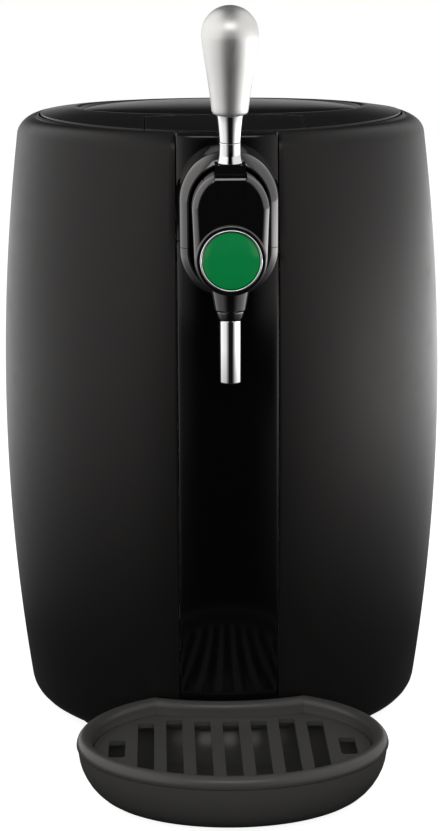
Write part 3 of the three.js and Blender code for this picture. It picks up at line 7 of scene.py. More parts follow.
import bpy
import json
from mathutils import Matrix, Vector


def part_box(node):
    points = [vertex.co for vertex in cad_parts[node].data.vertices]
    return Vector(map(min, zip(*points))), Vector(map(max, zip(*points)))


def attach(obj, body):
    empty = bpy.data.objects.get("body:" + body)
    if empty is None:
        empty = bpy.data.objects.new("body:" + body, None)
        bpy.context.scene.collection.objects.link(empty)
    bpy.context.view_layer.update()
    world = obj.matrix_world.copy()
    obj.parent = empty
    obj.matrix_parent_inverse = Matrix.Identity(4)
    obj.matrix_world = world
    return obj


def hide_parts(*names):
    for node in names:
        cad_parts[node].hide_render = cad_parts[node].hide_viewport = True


bl_info = {
    "name": "Mini Keg Beer Dispenser",
    "version": (1, 0, 0),
    "blender": (4, 5, 0),
    "location": "3D View > Sidebar > Dispenser",
    "description": "Builds the pieces, the finishes and the studio of a mini keg beer dispenser",
    "category": "Object",
}

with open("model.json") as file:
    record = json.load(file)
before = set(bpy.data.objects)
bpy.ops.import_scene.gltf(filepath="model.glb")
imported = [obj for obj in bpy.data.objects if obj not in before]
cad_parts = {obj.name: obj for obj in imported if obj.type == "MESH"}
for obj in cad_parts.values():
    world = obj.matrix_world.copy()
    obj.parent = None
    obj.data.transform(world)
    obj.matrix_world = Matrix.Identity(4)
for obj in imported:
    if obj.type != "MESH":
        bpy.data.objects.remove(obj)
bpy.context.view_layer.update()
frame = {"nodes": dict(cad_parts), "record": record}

import json
import math
from functools import partial

import bmesh
import bpy
from bpy.props import FloatProperty, FloatVectorProperty, PointerProperty
from mathutils import Matrix, Vector

MM = 0.001
AXIS_Y = 0.05  # the barrel's own axis, behind the frame's origin
TO_FRAME = Matrix.Translation((0, AXIS_Y, 0)) @ Matrix.Scale(MM, 4)
X, Y, Z = range(3)
WELD = 1e-3  # corners nearer than this are one
SHARP = math.radians(32)  # edges steeper than this stay crisp

# Clearances
GAP = 0.3  # between pieces that seat on each other
SEAM = 0.8  # visible seam round the lid
MOVE = 0.5  # between pieces that move past each other
WALL = 2.5  # moulded walls
OVERRUN = 3.0  # how far a cutter passes what it cuts
AHEAD, ABOVE = -143.0, 400.0  # before the barrel and over the lid, where cutters end

# Barrel
REAR_SQUARENESS = 2.4
BULGE_RADIUS, BULGE_SHARE = 1340.0, 0.525
SHOULDER, STRIP_SHOULDER = 10.0, 2.5  # upper edge of the shells and of the strip
HEM, FOOT_HEIGHT = 12.0, 4.0
BARREL_SEGMENTS, BARREL_ROWS = 192, 44
STRIP_HALF_WIDTH, STRIP_SEAM = 30.5, 327.0
STRIP_EDGE, SEAM_EDGE = 1.1, 0.4  # rounding of the strip's long edges and of its cross seam
SHELL_EDGE = 0.6  # rounding of the shells beside the strip
COVER_HALF_WIDTH, COVER_BOTTOM, COVER_TOP = 62.0, 30.0, 330.0
HINGE_SLOT_HALF, HINGE_SLOT_REAR, HINGE_SLOT_FLOOR = 27.0, 132.5, 382.0
LOUVRES = [165 + (i - 5) * 9 for i in range(11)]
LOUVRE_HALF_WIDTH, LOUVRE_HALF_HEIGHT = 40.0, 2.0
POCKET_HALF_WIDTH, POCKET_BOTTOM, POCKET_TOP, POCKET_FLOOR = 48.0, 41.0, 83.0, 152.0
POCKET_REAR, HOLE_FRONT, HOLE_REAR = 156.0, 140.0, 170.0
COVER_INSET = 0.6  # the pocket's rim inside the cover's face
PANEL_HOLES = (((-37.3, 51.2), (-22.7, 72.8)), ((13.7, 51.7), (42.3, 72.3)))  # switch and inlet

# Lid
LID_OPENING, LIP_DEPTH = 117.5, 7.0
LID_RADIUS = LID_OPENING - 1.2
SEAM_DIP, SEAM_SADDLE = 0.9, 2.5
LID_CROWN, RECESS_DEPTH, GROOVE = 6.0, 3.0, 0.6
RECESS_FLOOR = 9.0  # how far the recess's floor is drawn in under the insert
ROLLS = (3.6, 1.2)  # soft roll from the lid's crown into the recess, at the sides and in front
EDGE, LIP_EDGE, FLAP_EDGE = 0.45, 0.4, 0.45  # rounded edges of the lid, the lip and the press flap
LID_STEP = 0.75  # upright edge of the lid over the lip
LID_SHEET = 3.0  # thickness of the lid's upper sheet
LID_STEPS = 20
LID_SEGMENTS = 160
RIB_BITE, BOSS_BITE = 1.5, 1.2  # how far the ribs and the pin's bosses reach into the sheet
DOME_HALF_WIDTH, DOME_HALF_DEPTH, DOME_STEPS = 90.5, 65.0, 22
LATCH_HALF_WIDTH = 48.5
LATCH_REAR = -DOME_HALF_DEPTH - 2.0
LATCH_PIN_FORWARD, LATCH_PIN_DROP = 5.0, 5.0  # flap's rear edge and rim to its pin
LATCH_BOSS, LATCH_BORE, LATCH_BOSS_WIDTH = 3.3, 1.8, 5.0
SKIRT_RADIUS = LID_RADIUS - 2 * SEAM - MOVE
SKIRT_DROP = 7.0
HINGE_AXIS, HINGE_KNUCKLE, HINGE_BORE = (126.0, 383.5), 5.0, 2.3
HINGE_ARM, HINGE_ARM_FRONT = (12.3, 20.0), 109.6
PLUG_Y, PLUG_RADIUS, PLUG_FOOT, PLUG_TOP = -6.0, 104.5, 370.2, 385.8
SEAL_RADII, SEAL_LEVELS, SEAL_LIP = (97.5, 103.5), (366.3, 369.9), 1.6
TONGUE_HALF_WIDTH = 8.0  # catch tongue of the flap

# Keg well
WELL_Y, WELL_RADIUS = -8.0, 88.0
WELL_FOOT, WELL_TOP, WELL_RIM = 60.3, 342.0, 96.0
WELL_SHEET, WELL_CORNER = 1.0, 3.0
FUNNEL = (  # radius, height and centre of each level
    (89, 343.3, -8), (89, 363.5, -8), (95, 366, -8), (106, 366, -6), (116.4, 379.7, 0),
    (116.4, 382.7, 0), (120, 382.7, 0), (120, 379.7, 0), (108.5, 363.5, -6), (91.5, 361, -8),
    (91.5, 343.3, -8))
FUNNEL_WINDOWS = (  # for the hose, the catch tongue and the hinge
    ((-8, AHEAD, 348), (8, -8, 361)), ((-10, AHEAD, 373.6), (10, -107.6, 390)),
    ((-22, 107.6, 380.5), (22, 165, 390)))

# Tap and lever, depths from the barrel's axis
TAP_FRONT = -195.0
TAP_RADII = (22.0, 20.9)  # upper and lower half
TAP_CENTRES = (352.5, 324.0)
TAP_FLANGE, TAP_FLANGE_FRONT, TAP_FLANGE_REAR = 3.7, -126.0, -123.0
HOOD_RADII = (29.0, 24.5)  # its wall and its lip
HOOD_RISE = 1.6  # how much wider the flank is over the top
HOOD_BROW, HOOD_LIP = 24.0, 0.9  # slope of the flank at the lip, and the lip's rounding
HOOD_CENTRES = (352.4, 325.5)
HOOD_REACH = 22.0
HOOD_ROOT = ((1.4, 34.0), (0.6, 30.5), (0.15, 26.0), (0.0, 21.0))  # swell, and depth behind the crest
PIVOT_Y, PIVOT_Z = -180.0, 366.0
LEVER_LEAN = math.radians(5)
SPOUT_Y = -177.0
BOSS_RADIUS, BOSS_RISE, BOSS_EDGE, BOSS_DEPTH = 20.3, 1.3, 1.2, 8.0  # round seat of the badge
TONGUE_RADII, TONGUE_CENTRES, TONGUE_GROOVE = (7.9, 7.4), (380, 353.5), 0.45  # line on the tap's face
JAW_SET_BACK, JAW_HALF_ROOM, HUB_HALF_ROOM, CHANNEL_FLOOR = 13.2, 6.8, 9.3, 350.0
LEVER_BORE, HOSE_BORE = 2.8, 4.75
COLLAR_BORE, COLLAR_TOP = 12.1, 309.3  # seat of the spout's collar
BADGE_SEAT = 18.1
HUB_RADIUS, HUB_HALF_WIDTH, LUG_RADIUS, LUG_REACH, LUG_DROP = 7.5, 8.8, 2.0, 10.5, 30.0
BADGE_SINK = 0.3  # badge set into its seat
SPOUT_TOP, SPOUT_ROOT = 286.4, 298.7
STEM = [(7.1, 12.4), (6.6, 14.5), (6.25, 17.5), (6.1, 23.4)]
FERRULE = [(6.1, 24.4), (6.5, 30), (7.1, 36), (7.6, 39.2)]
GRIP_FOOT = 39.9
GRIP = [  # radius, and share of the grip's height
    (8.6, 0.0), (9.9, 0.012), (10.6, 0.05), (11.2, 0.14), (12.25, 0.27), (13.3, 0.385),
    (14.4, 0.5), (15.4, 0.61), (16.0, 0.69), (16.1, 0.737), (15.6, 0.80), (14.6, 0.848),
    (12.9, 0.892), (10.9, 0.928), (8.6, 0.957), (6.1, 0.977), (3.1, 0.992), (0.0, 0.997)]

# Tray
TRAY_CENTRE_Y, TRAY_HALF_WIDTH = -193.0, 93.2
TRAY_FRONT_REACH, TRAY_BACK_REACH = 72.0, 78.0
TRAY_CREST, TRAY_SEAM, GRATE_TOP, GRATE_THICKNESS = 39.2, 32.2, 30.2, 3.0
TRAY_BACK_STEPS, TRAY_FRONT_STEPS = 48, 144
TRAY_STEPS = TRAY_BACK_STEPS + TRAY_FRONT_STEPS
BOWL_FLOOR, BOWL_THICKNESS, BOWL_TAPER = 0.5, 3.0, 21.5
BOWL_SIDE = [  # share of the taper inwards, share of the height upwards
    (1.0, 0.0), (0.9, 0.02), (0.76, 0.07), (0.6, 0.145), (0.44, 0.25), (0.3, 0.37), (0.18, 0.51),
    (0.09, 0.65), (0.04, 0.77), (0.01, 0.9), (0.0, 1.0)]
TRAY_TONGUE = (25.0, 66.5, 1.2, 3.4)  # half width, length, underside and top
TRAY_TONGUE_REACH = 22.0  # how far it runs under the barrel's hem
RIM_CREST = [  # inset, and share of the rim's depth upwards
    (0.5, 0.02), (0.0, 0.22), (0.2, 0.45), (0.9, 0.7), (2.5, 0.92), (4.9, 1.0), (7.2, 0.88),
    (8.5, 0.66)]
RIM_END = 0.4  # the same share at the rim's inner edge
SLOT_PITCH, SLOT_MARGIN, SLOT_CORNER, END_SLOT_HALF = 17.3, 6.0, 2.2, 13.5


# Settings that a user would change

def length(name, description, default):
    """A length property, in metres."""
    return FloatProperty(
        name=name, description=description, default=default, unit="LENGTH", precision=4)


def tint(name, description, default):
    """A colour property."""
    return FloatVectorProperty(
        name=name, description=description, default=default, subtype="COLOR", min=0, max=1)


def wattage(name, description, default):
    """A lamp's power."""
    return FloatProperty(name=name, description=description, default=default, unit="POWER")


class BarrelSettings(bpy.types.PropertyGroup):
    half_width: length(
        "Half width", "Axis to the side of the widest level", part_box("right_shell")[1].x)
    front_depth: length(
        "Front depth", "Axis to the front of the widest level",
        AXIS_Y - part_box("front_panel")[0].y - HOOD_REACH * MM)
    rear_depth: length(
        "Rear depth", "Axis to the back of the widest level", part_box("rear_cover")[1].y - AXIS_Y)
    height: length("Height", "Floor to the flat rim round the lid", 0.39)
    shell_colour: tint(
        "Shell colour", "Satin plastic of the barrel's shells", (0.0038, 0.0035, 0.0034))
    strip_colour: tint(
        "Strip colour", "Glossy plastic of the strip, the hood and the tap",
        (0.0012, 0.0012, 0.0013))


class LidSettings(bpy.types.PropertyGroup):
    dome_rise: length("Insert rise", "Crown of the oval insert over its own edge", 0.0054)


class TapSettings(bpy.types.PropertyGroup):
    edge_radius: length("Edge radius", "Rounding of the tap's front edge", 0.0042)
    badge_colour: tint("Badge colour", "Plain disc in the silver rim", (0.002, 0.156, 0.038))
    spout_length: length("Spout length", "Nut to the open end of the spout", 0.0366)


class LeverSettings(bpy.types.PropertyGroup):
    grip_height: length("Grip height", "Length of the pear-shaped grip", 0.061)
    grip_colour: tint("Grip colour", "Satin metal of the grip", (0.85, 0.84, 0.82))


class TraySettings(bpy.types.PropertyGroup):
    rim_width: length("Rim width", "Outside of the rim to the grate", 0.009)
    slot_width: length("Slot width", "Width of a slot in the grate", 0.010)


class StudioSettings(bpy.types.PropertyGroup):
    floor_size: length("Floor size", "Half side of the floor", 4.0)
    side_light: wattage("Side light", "Power of each side lamp", 12.5)
    top_light: wattage("Top light", "Power of the lamp overhead", 9.0)
    front_light: wattage("Front light", "Power of the small lamp above the camera", 4.4)
    fill_light: wattage("Fill light", "Power of the wide lamp that fills in from the front", 22.0)


def settings(group):
    return getattr(bpy.context.scene, f"{group}_settings")


def size(group, name):
    """A length setting in the modelling unit."""
    return getattr(settings(group), name) / MM


def rim_height():
    return size("barrel", "height")


# Shapes

def linked(name, data):
    """A new object in the scene."""
    item = bpy.data.objects.new(name, data)
    bpy.context.scene.collection.objects.link(item)
    return item


def ring_edges(ring):
    """The edges that run round a ring of vertices."""
    inside = set(ring)
    return list({e for v in ring for e in v.link_edges if e.other_vert(v) in inside})


def next_ring(bm, ring):
    made = bmesh.ops.extrude_edge_only(bm, edges=ring_edges(ring))["geom"]
    return [item for item in made if isinstance(item, bmesh.types.BMVert)]


def tower(bm, segments, levels, start=True, end=True):
    """Extrudes a circle from level to level. A level turns an angle into a point."""
    turn = bm.verts.layers.float.get("turn") or bm.verts.layers.float.new("turn")
    ring = bmesh.ops.create_circle(bm, segments=segments, radius=1)["verts"]
    for vert in ring:
        vert[turn] = math.atan2(vert.co.y, vert.co.x)
    rings = []
    for index, level in enumerate(levels):
        if index:
            ring = next_ring(bm, ring)
        for vert in ring:
            vert.co = level(vert[turn])
        rings.append(ring)
    for wanted, end_ring in ((start, rings[0]), (end, rings[-1])):
        if wanted:
            bmesh.ops.contextual_create(bm, geom=ring_edges(end_ring))
    return rings


def lofted(segments, levels):
    """A scratch solid through a stack of levels."""
    bm = bmesh.new()
    tower(bm, segments, levels)
    return raw(bm)


def hoop(segments, levels):
    """A scratch ring whose section runs through the levels and back to the first."""
    bm = bmesh.new()
    rings = tower(bm, segments, levels, False, False)
    bmesh.ops.bridge_loops(bm, edges=ring_edges(rings[0]) + ring_edges(rings[-1]))
    return raw(bm)


def turned(profile, centre=(0, 0), steps=96):
    """A scratch solid from a profile of radius and height pairs, round an upright axis."""
    bm = bmesh.new()
    verts = [bm.verts.new((radius, 0, height)) for radius, height in profile]
    edges = [bm.edges.new(pair) for pair in zip(verts, verts[1:])]
    if profile[0][0] > 0 and profile[-1][0] > 0:
        edges.append(bm.edges.new((verts[-1], verts[0])))
    bmesh.ops.spin(
        bm, geom=verts + edges, cent=(0, 0, 0), axis=(0, 0, 1), angle=2 * math.pi,
        steps=steps, use_merge=True, use_duplicate=False)
    bmesh.ops.remove_doubles(bm, verts=bm.verts, dist=WELD)
    bmesh.ops.translate(bm, verts=bm.verts, vec=(*centre, 0))
    return raw(bm)


def block(low, high, rounding=0.0):
    """A scratch box between two corners, its upright edges rounded if wanted."""
    low, high = Vector(low), Vector(high)
    matrix = Matrix.Translation((low + high) / 2) @ Matrix.Diagonal((*(high - low), 1))
    bm = bmesh.new()
    bmesh.ops.create_cube(bm, size=1, matrix=matrix)
    if rounding:
        upright = [e for e in bm.edges if abs(e.verts[0].co.z - e.verts[1].co.z) > 1]
        bmesh.ops.bevel(bm, geom=upright, offset=rounding, offset_type="OFFSET", segments=5,
                        profile=0.5, affect="EDGES", material=-1)
    return raw(bm)


def wide_block(half_width, front, rear, low, high, rounding=0.0):
    """A scratch box across the middle plane."""
    return block((-half_width, front, low), (half_width, rear, high), rounding)


def rod(axis, radius, start, end, centre, segments=64):
    """A scratch round bar along x, y or z between two places on that axis."""
    a, b = centre
    middle = (start + end) / 2
    place, turn = {
        "x": ((middle, a, b), Matrix.Rotation(math.pi / 2, 4, "Y")),
        "y": ((a, middle, b), Matrix.Rotation(-math.pi / 2, 4, "X")),
        "z": ((a, b, middle), Matrix.Identity(4)),
    }[axis]
    bm = bmesh.new()
    bmesh.ops.create_cone(bm, cap_ends=True, segments=segments, radius1=radius, radius2=radius,
                          depth=end - start, matrix=Matrix.Translation(place) @ turn)
    return raw(bm)


def eased(points, steps):
    """A smooth line through a few pairs."""
    line = []
    for i in range(len(points) - 1):
        a, b = points[max(i - 1, 0)], points[i]
        c, d = points[i + 1], points[min(i + 2, len(points) - 1)]
        for k in range(steps):
            t = k / steps
            line.append(tuple(
                0.5 * (2 * q + (r - p) * t + (2 * p - 5 * q + 4 * r - s) * t * t
                       + (3 * q - p - 3 * r + s) * t ** 3)
                for p, q, r, s in zip(a, b, c, d)))
    line.append(points[-1])
    return line


def rounded(corner, radius, start, end, steps=5):
    """Points of a round inside a profile's corner, between two angles in degrees."""
    return [(corner[0] + radius * math.cos(a), corner[1] + radius * math.sin(a))
            for a in (math.radians(start + (end - start) * k / steps) for k in range(steps + 1))]


def quarter(steps, first=0):
    """Sine and cosine along a quarter turn."""
    angles = [math.radians(90 * k / steps) for k in range(first, steps + 1)]
    return [(math.sin(angle), math.cos(angle)) for angle in angles]


def raw(bm, closed=True):
    """A scratch object in millimetres; an open sheet keeps the way its faces point."""
    bmesh.ops.remove_doubles(bm, verts=bm.verts, dist=WELD)
    if closed:
        bmesh.ops.recalc_face_normals(bm, faces=bm.faces)
    mesh = bpy.data.meshes.new("shape")
    bm.to_mesh(mesh)
    bm.free()
    return linked("shape", mesh)


def bake_modifiers(shape):
    """Replaces an object's mesh by its evaluated one and drops its modifiers."""
    bpy.context.view_layer.update()
    graph = bpy.context.evaluated_depsgraph_get()
    mesh = bpy.data.meshes.new_from_object(shape.evaluated_get(graph))
    shape.modifiers.clear()
    old, shape.data = shape.data, mesh
    bpy.data.meshes.remove(old)
    return shape


def combine(shape, others, operation):
    """Unites a scratch object with others, or cuts them from it, and removes them."""
    for other in others:
        modifier = shape.modifiers.new(operation, "BOOLEAN")
        modifier.operation = operation
        modifier.solver = "MANIFOLD"
        modifier.object = other
    bake_modifiers(shape)
    for other in others:
        bpy.data.objects.remove(other)
    return shape


def thickened(bm, thickness):
    """A scratch sheet with a wall on its inner side."""
    shape = raw(bm, closed=False)
    modifier = shape.modifiers.new("wall", "SOLIDIFY")
    modifier.thickness = thickness
    modifier.offset = -1
    modifier.use_even_offset = False
    return bake_modifiers(shape)


def settle(shape, name, body, node, slot, finish_name, soft_edge=0.0):
    """Puts a shape into the frame as a named piece that rides on a body."""
    shape.name = name
    shape.data.name = name
    shape.data.transform(TO_FRAME)
    shape.data.polygons.foreach_set("use_smooth", [True] * len(shape.data.polygons))
    shape.data.set_sharp_from_angle(angle=SHARP)
    if soft_edge:
        bevel = shape.modifiers.new("soft edge", "BEVEL")
        bevel.width = soft_edge * MM
        bevel.segments = 2
        bevel.limit_method = "ANGLE"
        bevel.angle_limit = SHARP
        bevel.harden_normals = True
        bevel.miter_outer = "MITER_ARC"
    shape.data.materials.clear()
    shape.data.materials.append(finish(finish_name))
    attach(shape, body)
    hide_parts(node)


def keep_faces(bm, wanted):
    """Drops the faces whose middle isn't wanted."""
    drop = [face for face in bm.faces if not wanted(face.calc_center_median())]
    bmesh.ops.delete(bm, geom=drop, context="FACES")


def roll_in(bm, distance, radius):
    """Rounds a sheet's border: vertices near it sink along their normals."""
    bm.normal_update()
    for vert in bm.verts:
        near = radius - distance(vert.co)
        if near > 0:
            vert.co -= vert.normal * (radius - math.sqrt(max(0.0, radius ** 2 - near ** 2)))


def slice_at(bm, axis, *places):
    """Adds an edge line where planes across an axis meet the mesh."""
    normal = Vector((0, 0, 0))
    normal[axis] = 1
    for place in places:
        bmesh.ops.bisect_plane(bm, geom=bm.verts[:] + bm.edges[:] + bm.faces[:], dist=1e-4,
                               plane_co=normal * place, plane_no=normal)


# Outlines

def level(outline, *values):
    """A level of a tower: an outline with everything but the angle given."""
    return lambda turn: outline(turn, *values)


def signed_power(value, power):
    return math.copysign(abs(value) ** power, value)


def bulge(height):
    return (height - rim_height() * BULGE_SHARE) ** 2 / (2 * BULGE_RADIUS)


def barrel_point(turn, height, extra=0.0):
    """The barrel's outline at a height, drawn in by an extra inset."""
    inset = bulge(height) + extra
    across, along = math.cos(turn), math.sin(turn)
    power = 2 / REAR_SQUARENESS if along > 0 else 1
    depth = size("barrel", "rear_depth" if along > 0 else "front_depth") - inset
    half_width = size("barrel", "half_width") - inset
    return Vector((half_width * signed_power(across, power), depth * signed_power(along, power), height))


def oval_point(turn, half_width, half_depth, height, centre_y=0.0):
    return Vector((half_width * math.cos(turn), centre_y + half_depth * math.sin(turn), height))


def seam_point(turn, half_width, half_depth, height, share=1.0):
    """Round the lid's seam, which lies lower at the front and back than at the sides."""
    point = oval_point(turn, half_width, half_depth, height)
    point.z += share * (SEAM_SADDLE * math.cos(turn) ** 2 - SEAM_DIP)
    return point


def stadium_point(turn, radii, centres, y, grown=0.0):
    """An upright outline with round ends; pairs give its upper and lower half."""
    half = 0 if math.sin(turn) > -1e-6 else 1
    radius = radii[half] + grown
    return Vector((radius * math.cos(turn), y, centres[half] + radius * math.sin(turn)))


def tray_back_y(x, inset):
    depth_cut = bulge(TRAY_CREST) - 1 - inset
    half_width = size("barrel", "half_width") - depth_cut
    depth = size("barrel", "front_depth") - depth_cut
    return -depth * math.sqrt(max(0.0, 1 - (x / half_width) ** 2))


def tray_oval_y(x, inset, back):
    reach = TRAY_BACK_REACH if back else TRAY_FRONT_REACH
    rise = (reach - inset) * math.sqrt(max(0.0, 1 - (x / (TRAY_HALF_WIDTH - inset)) ** 2))
    return TRAY_CENTRE_Y + (rise if back else -rise)


def tray_corner_x(inset):
    """Where the tray's oval meets the line of the barrel's front."""
    low, high = 0.0, TRAY_HALF_WIDTH - inset
    for _ in range(40):
        middle = (low + high) / 2
        if tray_oval_y(middle, inset, True) > tray_back_y(middle, inset):
            low = middle
        else:
            high = middle
    return low


def tray_level(inset, height):
    """A level of the tray: a hollow back that follows the barrel, and an oval front."""
    corner_x = tray_corner_x(inset)
    half_width = TRAY_HALF_WIDTH - inset
    start = math.acos(corner_x / half_width)

    def place(turn):
        step = round((turn % (2 * math.pi)) / (2 * math.pi) * TRAY_STEPS)
        if step < TRAY_BACK_STEPS:
            x = corner_x * (1 - 2 * step / TRAY_BACK_STEPS)
            return Vector((x, tray_back_y(x, inset), height))
        share = (step - TRAY_BACK_STEPS) / TRAY_FRONT_STEPS
        angle = math.pi - start + share * (math.pi + 2 * start)
        x = half_width * math.cos(angle)
        return Vector((x, tray_oval_y(x, inset, math.sin(angle) > 0), height))

    return place


# Finishes

SOCKETS = {"VALUE": "NodeSocketFloat", "RGBA": "NodeSocketColor", "VECTOR": "NodeSocketVector"}


def feed(tree, socket, value):
    """Wires a socket to another one, or gives it a plain value."""
    if isinstance(value, bpy.types.NodeSocket):
        tree.links.new(value, socket)
    else:
        socket.default_value = value


def add_node(tree, kind, inputs=None, **options):
    """A shader node with its options set and its inputs fed; gives its outputs."""
    node = tree.nodes.new("ShaderNode" + kind)
    for option, value in options.items():
        setattr(node, option, value)
    for label, value in (inputs or {}).items():
        feed(tree, node.inputs[label], value)
    return node.outputs


def calculate(tree, operation, *values):
    return add_node(tree, "Math", dict(enumerate(values)), operation=operation)[0]


def map_range(tree, value, low, high, to_low, to_high, kind="LINEAR"):
    inputs = {"Value": value, "From Min": low, "From Max": high, "To Min": to_low, "To Max": to_high}
    return add_node(tree, "MapRange", inputs, interpolation_type=kind)["Result"]


def choose(tree, ray, otherwise, then):
    """One value for a kind of ray, another for the rest."""
    return map_range(tree, add_node(tree, "LightPath")[ray], 0.0, 1.0, otherwise, then)


def noise(tree, vector, scale, detail):
    return add_node(tree, "TexNoise", {"Vector": vector, "Scale": scale, "Detail": detail})["Fac"]


def bumped(tree, height, strength, distance):
    return add_node(
        tree, "Bump", {"Height": height, "Strength": strength, "Distance": distance})["Normal"]


def blend_colours(tree, factor, first, second):
    """Mixes two colours, each a socket or a plain colour."""
    mix = tree.nodes.new("ShaderNodeMix")
    mix.data_type = "RGBA"
    sockets = {socket.identifier: socket for socket in (*mix.inputs, *mix.outputs)}
    for label, value in (("Factor_Float", factor), ("A_Color", first), ("B_Color", second)):
        feed(tree, sockets[label], value)
    return sockets["Result_Color"]


def moulded_grain(tree, given):
    """Fine texture of moulded plastic, as a normal."""
    height = noise(tree, given["Vector"], given["Scale"], 2.0)
    return {"Normal": bumped(tree, height, given["Strength"], given["Depth"])}


def handled_gloss(tree, given):
    """Roughness that drifts over the surface, with faint smears of handling."""
    drift = noise(tree, given["Vector"], given["Scale"], 3.0)
    base = map_range(tree, drift, 0.3, 0.7, given["Low"], given["High"])
    fine = calculate(tree, "MULTIPLY", given["Scale"], 7.0)
    smear = noise(tree, given["Vector"], fine, 5.0)
    wiped = map_range(tree, smear, 0.5, 0.75, 0.0, given["Smears"])
    return {"Roughness": calculate(tree, "ADD", base, wiped)}


def resting_dust(tree, given):
    """A little pale dust where a surface faces up."""
    facing = add_node(tree, "SeparateXYZ", {"Vector": add_node(tree, "NewGeometry")["Normal"]})["Z"]
    upward = map_range(tree, facing, 0.6, 1.0, 0.0, given["Amount"])
    speckle = map_range(tree, noise(tree, given["Vector"], 160.0, 6.0), 0.42, 0.68, 0.15, 1.0)
    share = calculate(tree, "MULTIPLY", upward, speckle)
    return {"Colour": blend_colours(tree, share, given["Colour"], given["Dust"])}


def brushed(tree, given):
    """Hairlines along one direction, as roughness and a normal."""
    lines = noise(tree, given["Vector"], 1.0, 4.0)
    return {"Roughness": map_range(tree, lines, 0.3, 0.7, given["Low"], given["High"]),
            "Normal": bumped(tree, lines, given["Strength"], 0.00005)}


EFFECTS = {
    "Moulded grain": (moulded_grain, {"Scale": 2500.0, "Strength": 0.05, "Depth": 0.0001}),
    "Handled gloss": (handled_gloss, {"Scale": 9.0, "Low": 0.1, "High": 0.2, "Smears": 0.03}),
    "Resting dust": (resting_dust, {
        "Colour": (0.02, 0.02, 0.02, 1), "Dust": (0.35, 0.34, 0.32, 1), "Amount": 0.02}),
    "Brushed": (brushed, {"Low": 0.2, "High": 0.3, "Strength": 0.05}),
}


def shared_effect(name):
    """A shader group, made at its first use, with its inputs' usual values."""
    group = bpy.data.node_groups.get(name)
    if group:
        return group
    build, usual = EFFECTS[name]
    group = bpy.data.node_groups.new(name, "ShaderNodeTree")
    group.interface.new_socket(name="Vector", in_out="INPUT", socket_type=SOCKETS["VECTOR"])
    for label, value in usual.items():
        kind = SOCKETS["VALUE" if isinstance(value, float) else "RGBA"]
        group.interface.new_socket(
            name=label, in_out="INPUT", socket_type=kind).default_value = value
    results = build(group, group.nodes.new("NodeGroupInput").outputs)
    for label, socket in results.items():
        group.interface.new_socket(name=label, in_out="OUTPUT", socket_type=SOCKETS[socket.type])
    end = group.nodes.new("NodeGroupOutput")
    for label, socket in results.items():
        feed(group, end.inputs[label], socket)
    return group


def effect(tree, name, vector, **values):
    """Puts a shared group into a material with its own values."""
    return add_node(tree, "Group", {"Vector": vector, **values}, node_tree=shared_effect(name))


def object_vector(tree, stretch=None):
    """Object coordinates, stretched for grain that runs one way."""
    place = add_node(tree, "TexCoord")["Object"]
    return add_node(tree, "Mapping", {"Vector": place, "Scale": stretch})["Vector"] if stretch else place


def dress(tree, inputs):
    for label, value in inputs.items():
        feed(tree, tree.nodes["Principled BSDF"].inputs[label], value)


def plastic(tree, colour, low, high, smears=0.03, grain=0.05, grain_scale=2500.0, dust=0.02,
            coat=0.0, specular=0.5, lighter=1.0):
    """Moulded plastic: drifting gloss, fine grain and a trace of dust."""
    vector = object_vector(tree)
    colour = (*(lighter * c for c in colour), 1)
    dress(tree, {
        "Roughness": effect(tree, "Handled gloss", vector, Low=low, High=high, Smears=smears)[0],
        "Normal": effect(tree, "Moulded grain", vector, Scale=grain_scale, Strength=grain)[0],
        "Base Color": effect(tree, "Resting dust", vector, Colour=colour, Amount=dust)[0],
        "Specular IOR Level": specular, "Specular Tint": (1, 0.95, 0.93, 1),
        "Coat Weight": coat, "Coat Roughness": 0.03})


def metal(tree, colour, low, high, strength=0.04, stretch=(60, 60, 2500)):
    """Metal with hairlines; polished metal has hardly any."""
    lines = effect(tree, "Brushed", object_vector(tree, stretch), Low=low, High=high, Strength=strength)
    drift = map_range(tree, noise(tree, object_vector(tree), 55.0, 4.0), 0.3, 0.7, 0.0, 1.0)
    shade = blend_colours(tree, drift, (*(0.94 * c for c in colour), 1), (*colour, 1))
    dress(tree, {"Base Color": shade, "Roughness": lines["Roughness"], "Normal": lines["Normal"],
                 "Metallic": 1.0})


